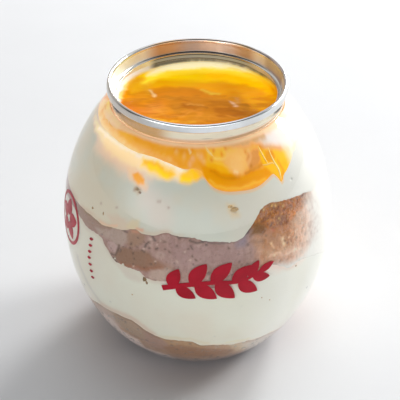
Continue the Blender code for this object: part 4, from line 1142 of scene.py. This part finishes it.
    # a pale band along the left edge: painted reflection of the ring in the puree
    front.light = 0.8
    front.patch((246, 245, 238), 0.97, 0.8, (108, 84), (131, 74), (125, 83), (120.6, 90), (119.4, 98), (121.5, 106), (124, 111), (114, 108), (106, 98))
    front.line((255, 226, 130), 0.7, 0.6, (133.5, 75.5), (127, 83), (122.6, 90), (121, 97))
    streak = p * np.array([0.30, 1.0, 0.0]) + cloud(p, 8.0, 2, 129)[:, None] * np.array([0.0, 2.0, 0.0])
    near_side = 1 - ease(y, 0, 12)
    face = mix(front.tint, whole((190, 108, 10), n, 1.18), 0.45 * near_side * ease(cloud(streak, 2.2, 3, 131), 0.05, 0.45))
    face = mix(face, whole((240, 160, 40), n, 1.18), 0.4 * near_side * ease(cloud(streak, 2.8, 3, 133), 0.1, 0.5))
    face = mix(face, whole((236, 202, 164), n, 0.9), 0.9 * ease(r, 28.0, 28.3) * (1 - ease(p[:, 1], -12, -6)))
    level = 92.45 - sunk(p[:, 0], p[:, 1])
    # on the lip at the back: a dark line, painted shadow under the ring's ledge, turning white at the left as a painted
    # glint
    ledge_shadow_and_glint = mix(whole((108, 102, 88), n, 0.9), whole((246, 245, 240), n, 0.92), 1 - ease(p[:, 0], -18.0, -14.5))
    face = mix(face, ledge_shadow_and_glint, 0.95 * ease(z - level, 0.35, 0.7) * ease(r, 28.0, 28.3) * ease(p[:, 1], -4, 4))
    tint = mix(tint, whole((238, 206, 170), n, 0.86), 0.75 * ease(z - level, -1.3, -0.2) * (1 - ease(np.abs(phi), 70, 90)))
    wall = inner_wall(np.clip(z, 1, 92.3)) + INTO_WALL
    return mix(tint, face, ease(wall - 0.09 - r, 0.0, 0.04) * ease(z - level, -0.6, -0.45))


layer(
    "mango_layer", mango_foot, lambda phi: 92.45 + 0.0 * phi, 800, 54, mango_depth, mango_tint, MANGO,
    "mango_top", calm(84.5), None, INTO_WALL, tuck=(0.8, 0.42), top=mango_loops, caps=5, film_at=mango_film_and_glare,
)


# ---- small things ------------------------------------------------------------------------------------------
def blob(centre, size, squash, seed, turns=14, rings=9):
    """A small irregular lump round a point in mm, as loops for capped()."""
    phi = np.arange(turns) * 360.0 / turns
    loops = []
    for k in range(1, rings):
        a = -math.pi / 2 + math.pi * k / rings
        q = at(phi, math.cos(a), math.sin(a))
        loops.append(q)
    loops = np.array(loops)
    flat = loops.reshape(-1, 3)
    lump = 1 + 0.45 * cloud(flat + seed * 3.1, 0.9, 3, 200 + seed)
    out = flat * lump[:, None] * np.asarray(size) * 0.5
    normal = np.array([centre[0], centre[1], 0.0])
    normal = normal / np.linalg.norm(normal)
    side = np.array([-normal[1], normal[0], 0.0])
    world = out[:, :1] * side + out[:, 1:2] * normal * squash + out[:, 2:] * np.array([0, 0, 1.0])
    return (world + centre).reshape(loops.shape)


def joined(parts):
    verts, faces, start = [], [], 0
    for v, f in parts:
        verts.append(v)
        faces.append(np.where(f >= 0, f + start, f))
        start += len(v)
    return np.concatenate(verts), np.concatenate(faces)


def crumb_set():
    """Crumbs of sponge caught between the cream and the wall: (phi, z, across, tall, darkness)."""
    places = [(-29.4, 78.6, 1.5, 1.1, 0.6), (-27.6, 77.9, 1.0, 0.9, 0.7), (16.5, 74.2, 2.7, 2.0, 0.45), (14.8, 75.4, 1.6, 1.2, 0.0),
              (-21.6, 49.4, 1.2, 1.8, 0.8), (-20.7, 48.2, 0.9, 1.2, 0.7), (-27.5, 41.3, 0.6, 0.5, 0.3), (27.3, 40.0, 0.6, 0.5, 0.35),
              (31.4, 37.6, 0.5, 0.4, 0.3), (-44.4, 67.0, 0.5, 1.5, 0.4), (44.6, 47.2, 0.7, 0.6, 0.5), (-51.5, 66.6, 1.0, 0.9, 0.5)]
    rng = np.random.default_rng(7)
    for _ in range(30):  # and a scatter round the back, as at the front
        phi = rng.uniform(80, 290)
        z = rng.choice([rng.uniform(24, 40), rng.uniform(72, 82)])
        size = rng.uniform(0.35, 1.2)
        places.append((phi, z, size, size * rng.uniform(0.6, 1.2), rng.uniform(0.3, 0.8)))
    parts, tints = [], []
    for k, (phi, z, across, tall, dark) in enumerate(places):
        r = float(inner_wall(z)) + CREAM_IN - 0.04
        loops = blob(at(phi, r, z), (across, 0.5, tall), 1.0, k)
        rim = float(inner_wall(z)) + 0.30
        radius = np.hypot(loops[..., 0], loops[..., 1])
        loops[..., :2] *= np.minimum(1, rim / radius)[..., None]
        v, f = capped(loops)
        parts.append((v, f))
        tone = mix(rgb(226, 190, 132)[None], rgb(118, 88, 58), np.full(len(v), dark))
        tints.append(tone * (1 + 0.3 * grain(v, 0.5, 301))[:, None])
    return (*joined(parts), np.concatenate(tints))


verts, faces, tints = crumb_set()
mesh_piece("crumbs", verts, faces, SPONGE, tint=tints)


def ribbon(points, width, proud, steps=8):
    """A thin lens-shaped strand that hugs the wall through (phi, z) points, widest in its middle."""
    line = curve(points, steps)
    n, around = len(line), 8
    loops = []
    for k, (phi, z) in enumerate(line):
        t = k / (n - 1)
        ahead, behind = line[min(k + 1, n - 1)], line[max(k - 1, 0)]
        du, dv = math.radians(ahead[0] - behind[0]) * 42.0, ahead[1] - behind[1]
        length = math.hypot(du, dv) or 1.0
        across = (-dv / length, du / length)
        w = width * (0.18 + 0.82 * math.sin(math.pi * min(max(t, 0.02), 0.98)) ** 0.7)
        loop = []
        for j in range(around):
            a = 2 * math.pi * j / around
            s, h = 0.5 * w * math.cos(a), proud * math.sin(a)
            zz = z + across[1] * s
            loop.append(at(phi + math.degrees(across[0] * s / 42.0), float(inner_wall(zz)) + INTO_WALL + h * (w / width), zz))
        loops.append(loop[::-1])
    return capped(np.array(loops))


def strand_set():
    lines = [([(37.4, 89.6), (37.7, 88.0), (38.2, 86.4), (39.2, 84.3)], 0.7, 0.45),
             ([(43.3, 88.2), (43.0, 86.0), (43.3, 84.0), (44.2, 81.6), (44.0, 80.0), (43.5, 78.4)], 0.75, 0.6),
             ([(35.6, 84.6), (38.6, 84.2), (41.4, 84.1), (43.6, 83.3)], 0.5, 0.35),
             ([(4.4, 92.0), (5.6, 91.4), (6.9, 90.7), (9.2, 89.4)], 0.45, 0.7)]
    rng = np.random.default_rng(19)
    for _ in range(16):
        phi, z = rng.uniform(75, 300), rng.uniform(88.4, 91)
        lean, length = rng.uniform(-1.2, 1.2), rng.uniform(3, 9)
        lines.append(([(phi, z), (phi + length / 2, z + lean), (phi + length, z + lean * rng.uniform(-0.5, 1.2))], rng.uniform(0.3, 0.6), rng.uniform(0.3, 0.8)))
    parts, tints = [], []
    # each strand is a raised fold of mango against the wall, and its paleness is a painted highlight on the fold
    for points, width, pale in lines:
        v, f = ribbon(points, width, 0.10)
        parts.append((v, f))
        tints.append(np.broadcast_to(mix(rgb(246, 184, 60)[None], rgb(255, 232, 160), np.array([pale]))[0], (len(v), 3)))
    return (*joined(parts), np.concatenate(tints))


verts, faces, tints = strand_set()
mesh_piece("mango_strands", verts, faces, MANGO, tint=tints)


# ---- the print ---------------------------------------------------------------------------------------------
def on_can(u, v, phi0, z0, lift):
    """A point u mm to the right and v mm up from a place on the can's outside, lifted off it."""
    z = z0 + np.asarray(v, float) * 0.97
    r = ball_r(z)
    return at(phi0 + np.degrees(np.asarray(u, float) / r), r + lift, z)


def slab(grid, phi0, z0, thick=0.07):
    """A thin closed patch that hugs the can, from an (n, m, 2) grid of flat places."""
    n, m = grid.shape[:2]
    out = on_can(grid[..., 0], grid[..., 1], phi0, z0, thick).reshape(-1, 3)
    back = on_can(grid[..., 0], grid[..., 1], phi0, z0, -0.03).reshape(-1, 3)
    i, j = np.meshgrid(np.arange(n - 1), np.arange(m - 1), indexing="ij")
    quads = np.stack([i * m + j, (i + 1) * m + j, (i + 1) * m + j + 1, i * m + j + 1], axis=-1).reshape(-1, 4)
    a, b, c, d = (out[quads[:, k]] for k in range(4))
    facing = np.einsum("ij,ij->", np.cross(c - a, d - b), a * np.array([1, 1, 0]))
    if facing < 0:
        quads = quads[:, ::-1]
    loop = [k * m for k in range(n)] + [(n - 1) * m + k for k in range(1, m)] + [k * m + m - 1 for k in range(n - 2, -1, -1)] + [k for k in range(m - 2, 0, -1)]
    loop = np.array(loop)
    after = np.roll(loop, -1)
    walls = np.stack([loop, after, after + n * m, loop + n * m], axis=-1)
    if facing < 0:
        walls = walls[:, ::-1]
    verts, faces = np.concatenate([out, back]), np.concatenate([quads, quads[:, ::-1] + n * m, walls[:, ::-1]])
    return verts, faces


def leaf(base, angle, length, width, steps=16, across=6, bend=0.0):
    """A leaf from its stalk end, pointing at an angle in degrees, with a pointed tip."""
    s = np.linspace(0, 1, steps)
    half = 0.5 * width * np.sin(np.pi * s**0.85) ** 0.8 + 0.04
    t = np.linspace(-1, 1, across)
    a = math.radians(angle)
    x, y = s[:, None] * length * np.ones_like(t)[None], half[:, None] * t[None] + (bend * np.sin(np.pi * s))[:, None]
    return np.stack([base[0] + x * math.cos(a) - y * math.sin(a), base[1] + x * math.sin(a) + y * math.cos(a)], axis=-1)


def stem(points, width0, width1, steps=8):
    line = curve(points, steps)
    n = len(line)
    d = np.gradient(line, axis=0)
    d /= np.linalg.norm(d, axis=1)[:, None]
    side = np.stack([-d[:, 1], d[:, 0]], axis=-1)
    w = np.linspace(width0, width1, n)[:, None, None] / 2
    t = np.linspace(-1, 1, 4)[None, :, None]
    return line[:, None, :] + side[:, None, :] * w * t


def sprig():
    """A plain leafy sprig across the front."""
    line = [(-17, -3.5), (-9, -1.4), (0, -0.6), (9, -1.4), (16, 0.8)]
    shapes = [stem(line, 2.1, 1.1)]
    dense = curve(line, 12)
    for k, (share, length, width) in enumerate([(0.10, 8.0, 4.5), (0.30, 9.6, 5.1), (0.50, 9.8, 5.2), (0.70, 8.8, 4.7), (0.88, 6.8, 3.7)]):
        for side in (1, -1):
            i = int((share + (0.05 if side < 0 else 0.0)) * (len(dense) - 2))
            p, d = dense[i], dense[i + 1] - dense[i]
            angle = math.degrees(math.atan2(d[1], d[0])) + side * (52 - 3 * k)
            shapes.append(leaf(p, angle, length, width, bend=0.3 * side))
    shapes.append(leaf(dense[-2], math.degrees(math.atan2(*(dense[-1] - dense[-2])[::-1])) + 4, 6.2, 2.8))
    return joined([slab(g, 6.5, 51.0) for g in shapes])


def roundel():
    """A plain round badge on the left: a ring and a five-leaved figure."""
    shapes = []
    for r0, r1 in ((8.6, 9.8),):
        a = np.linspace(0, 2 * math.pi, 73)
        rr = np.linspace(r0, r1, 4)
        shapes.append(np.stack([rr[None] * np.cos(a)[:, None], rr[None] * np.sin(a)[:, None]], axis=-1))
    for k in range(5):
        a = 90 + 72 * k
        shapes.append(leaf((1.3 * math.cos(math.radians(a)), 1.3 * math.sin(math.radians(a))), a, 6.4, 4.9))
    return joined([slab(g, -70.5, 54.5) for g in shapes])


def dashes():
    """A short curved row of small leaves beside the badge."""
    shapes = []
    for k in range(7):
        v = 8.4 - 2.75 * k
        shapes.append(leaf((0.35 * abs(k - 3) - 0.9, v), 20, 2.1, 1.05, 9, 4))
    return joined([slab(g, -50.6, 47.6) for g in shapes])


for name, (verts, faces) in (("print_sprig", sprig()), ("print_badge", roundel()), ("print_dashes", dashes())):
    mesh_piece(name, verts, faces, INK, sharp=30)


# ---- floor, light and camera -------------------------------------------------------------------------------
def floor_finish():
    n = Nodes("pale_floor")
    soft = n.noise(60.0, 4.0)
    fibre = n.noise(2.5, 5.0, 0.6)
    base = n.colour(n.ramp(soft, 0.3, 0.75), (0.715, 0.722, 0.735), (0.70, 0.707, 0.72))
    return n.finish(Base_Color=base, Roughness=n.ramp(fibre, 0.2, 0.8, 0.8, 0.92), Normal=n.bump(fibre, 0.12, 0.2), Specular_IOR_Level=0.2)


floor = bpy.data.objects.new("floor", bpy.data.meshes.new("floor"))
floor.data.from_pydata([(-3, -3, 0), (3, -3, 0), (3, 4, 0), (-3, 4, 0)], [], [(0, 1, 2, 3)])
floor.data.materials.append(floor_finish())
bpy.context.scene.collection.objects.link(floor)


def aimed(azimuth, elevation):
    a, e = math.radians(azimuth), math.radians(elevation)
    return Vector((math.sin(a) * math.cos(e), -math.cos(a) * math.cos(e), math.sin(e)))


def softbox(name, azimuth, elevation, distance, wide, tall, watts, colour, aim=(0, 0, 0.04)):
    light = bpy.data.lights.new(name, "AREA")
    light.shape, light.size, light.size_y, light.energy, light.color = "RECTANGLE", wide, tall, watts, colour
    obj = bpy.data.objects.new(name, light)
    obj.location = Vector(aim) + distance * aimed(azimuth, elevation)
    obj.rotation_euler = (Vector(aim) - obj.location).to_track_quat("-Z", "Y").to_euler()
    bpy.context.scene.collection.objects.link(obj)
    return obj


softbox("key_back", 151, 20, 1.6, 0.42, 0.42, 21.5, (1.0, 0.995, 0.985))
softbox("key_right", 121, 23, 1.6, 0.46, 0.46, 18.6, (1.0, 0.995, 0.985))


def studio_world():
    """A dim room with a bright low band, and soft lights at the left, right and back."""
    world = bpy.data.worlds.new("studio")
    world.use_nodes = True
    tree = world.node_tree
    split = tree.nodes.new("ShaderNodeSeparateXYZ")
    tree.links.new(tree.nodes.new("ShaderNodeTexCoord").outputs["Generated"], split.inputs[0])
    x, y, z = split.outputs

    def maths(operation, a, b=0.0):
        made = tree.nodes.new("ShaderNodeMath")
        made.operation = operation
        for socket, value in zip(made.inputs, (a, b)):
            if isinstance(value, bpy.types.NodeSocket):
                tree.links.new(value, socket)
            else:
                socket.default_value = value
        return made.outputs[0]

    def along(direction):
        return maths("ADD", maths("ADD", maths("MULTIPLY", x, direction[0]), maths("MULTIPLY", y, direction[1])), maths("MULTIPLY", z, direction[2]))

    def lobe(azimuth, elevation, width, strength):
        sharp = 1 / (1 - math.cos(math.radians(width)))
        return maths("MULTIPLY", maths("EXPONENT", maths("MULTIPLY", maths("SUBTRACT", along(aimed(azimuth, elevation)), 1.0), sharp)), strength)

    low = tree.nodes.new("ShaderNodeMapRange")
    low.interpolation_type = "SMOOTHSTEP"
    tree.links.new(z, low.inputs["Value"])
    for key, value in (("From Min", math.sin(math.radians(5))), ("From Max", math.sin(math.radians(32))), ("To Min", 1.0), ("To Max", 0.0)):
        low.inputs[key].default_value = value
    total = maths("ADD", 0.02, 0.0)
    for azimuth, strength in ((0, 1.85), (90, 0.10), (180, 0.85), (-90, 0.03)):
        side = maths("MAXIMUM", along(aimed(azimuth, 0)), 0.0)
        total = maths("ADD", total, maths("MULTIPLY", maths("MULTIPLY", side, low.outputs["Result"]), strength))
    for place in ((-50, 12, 15, 1.78), (100, 22, 12, 0.75), (150, 18, 20, 1.1), (180, 60, 25, 1.15), (180, 85, 25, 1.0), (-130, 30, 20, 0.6), (100, 55, 20, 0.25)):
        total = maths("ADD", total, lobe(*place))
    background = tree.nodes["Background"]
    background.inputs["Color"].default_value = (0.975, 0.985, 1.0, 1)
    tree.links.new(total, background.inputs["Strength"])
    return world


bpy.context.scene.world = studio_world()
bpy.context.scene.view_settings.view_transform = "Standard"

camera = bpy.data.objects.new("camera", bpy.data.cameras.new("camera"))
camera.data.sensor_width, camera.data.sensor_fit = 36.0, "HORIZONTAL"
camera.data.lens = 1279.0 / 400 * 36.0
camera.data.shift_x, camera.data.shift_y = (200 - 197.394) / 400, (202.341 - 200) / 400
camera.data.clip_start, camera.data.clip_end = 0.01, 20
tilt = math.radians(34.45)
camera.location = (0, -0.456 * math.cos(tilt), 0.05 + 0.456 * math.sin(tilt))
camera.rotation_euler = (Vector((0, 0, 0.05)) - camera.location).to_track_quat("-Z", "Y").to_euler()
bpy.context.scene.collection.objects.link(camera)
bpy.context.scene.camera = camera
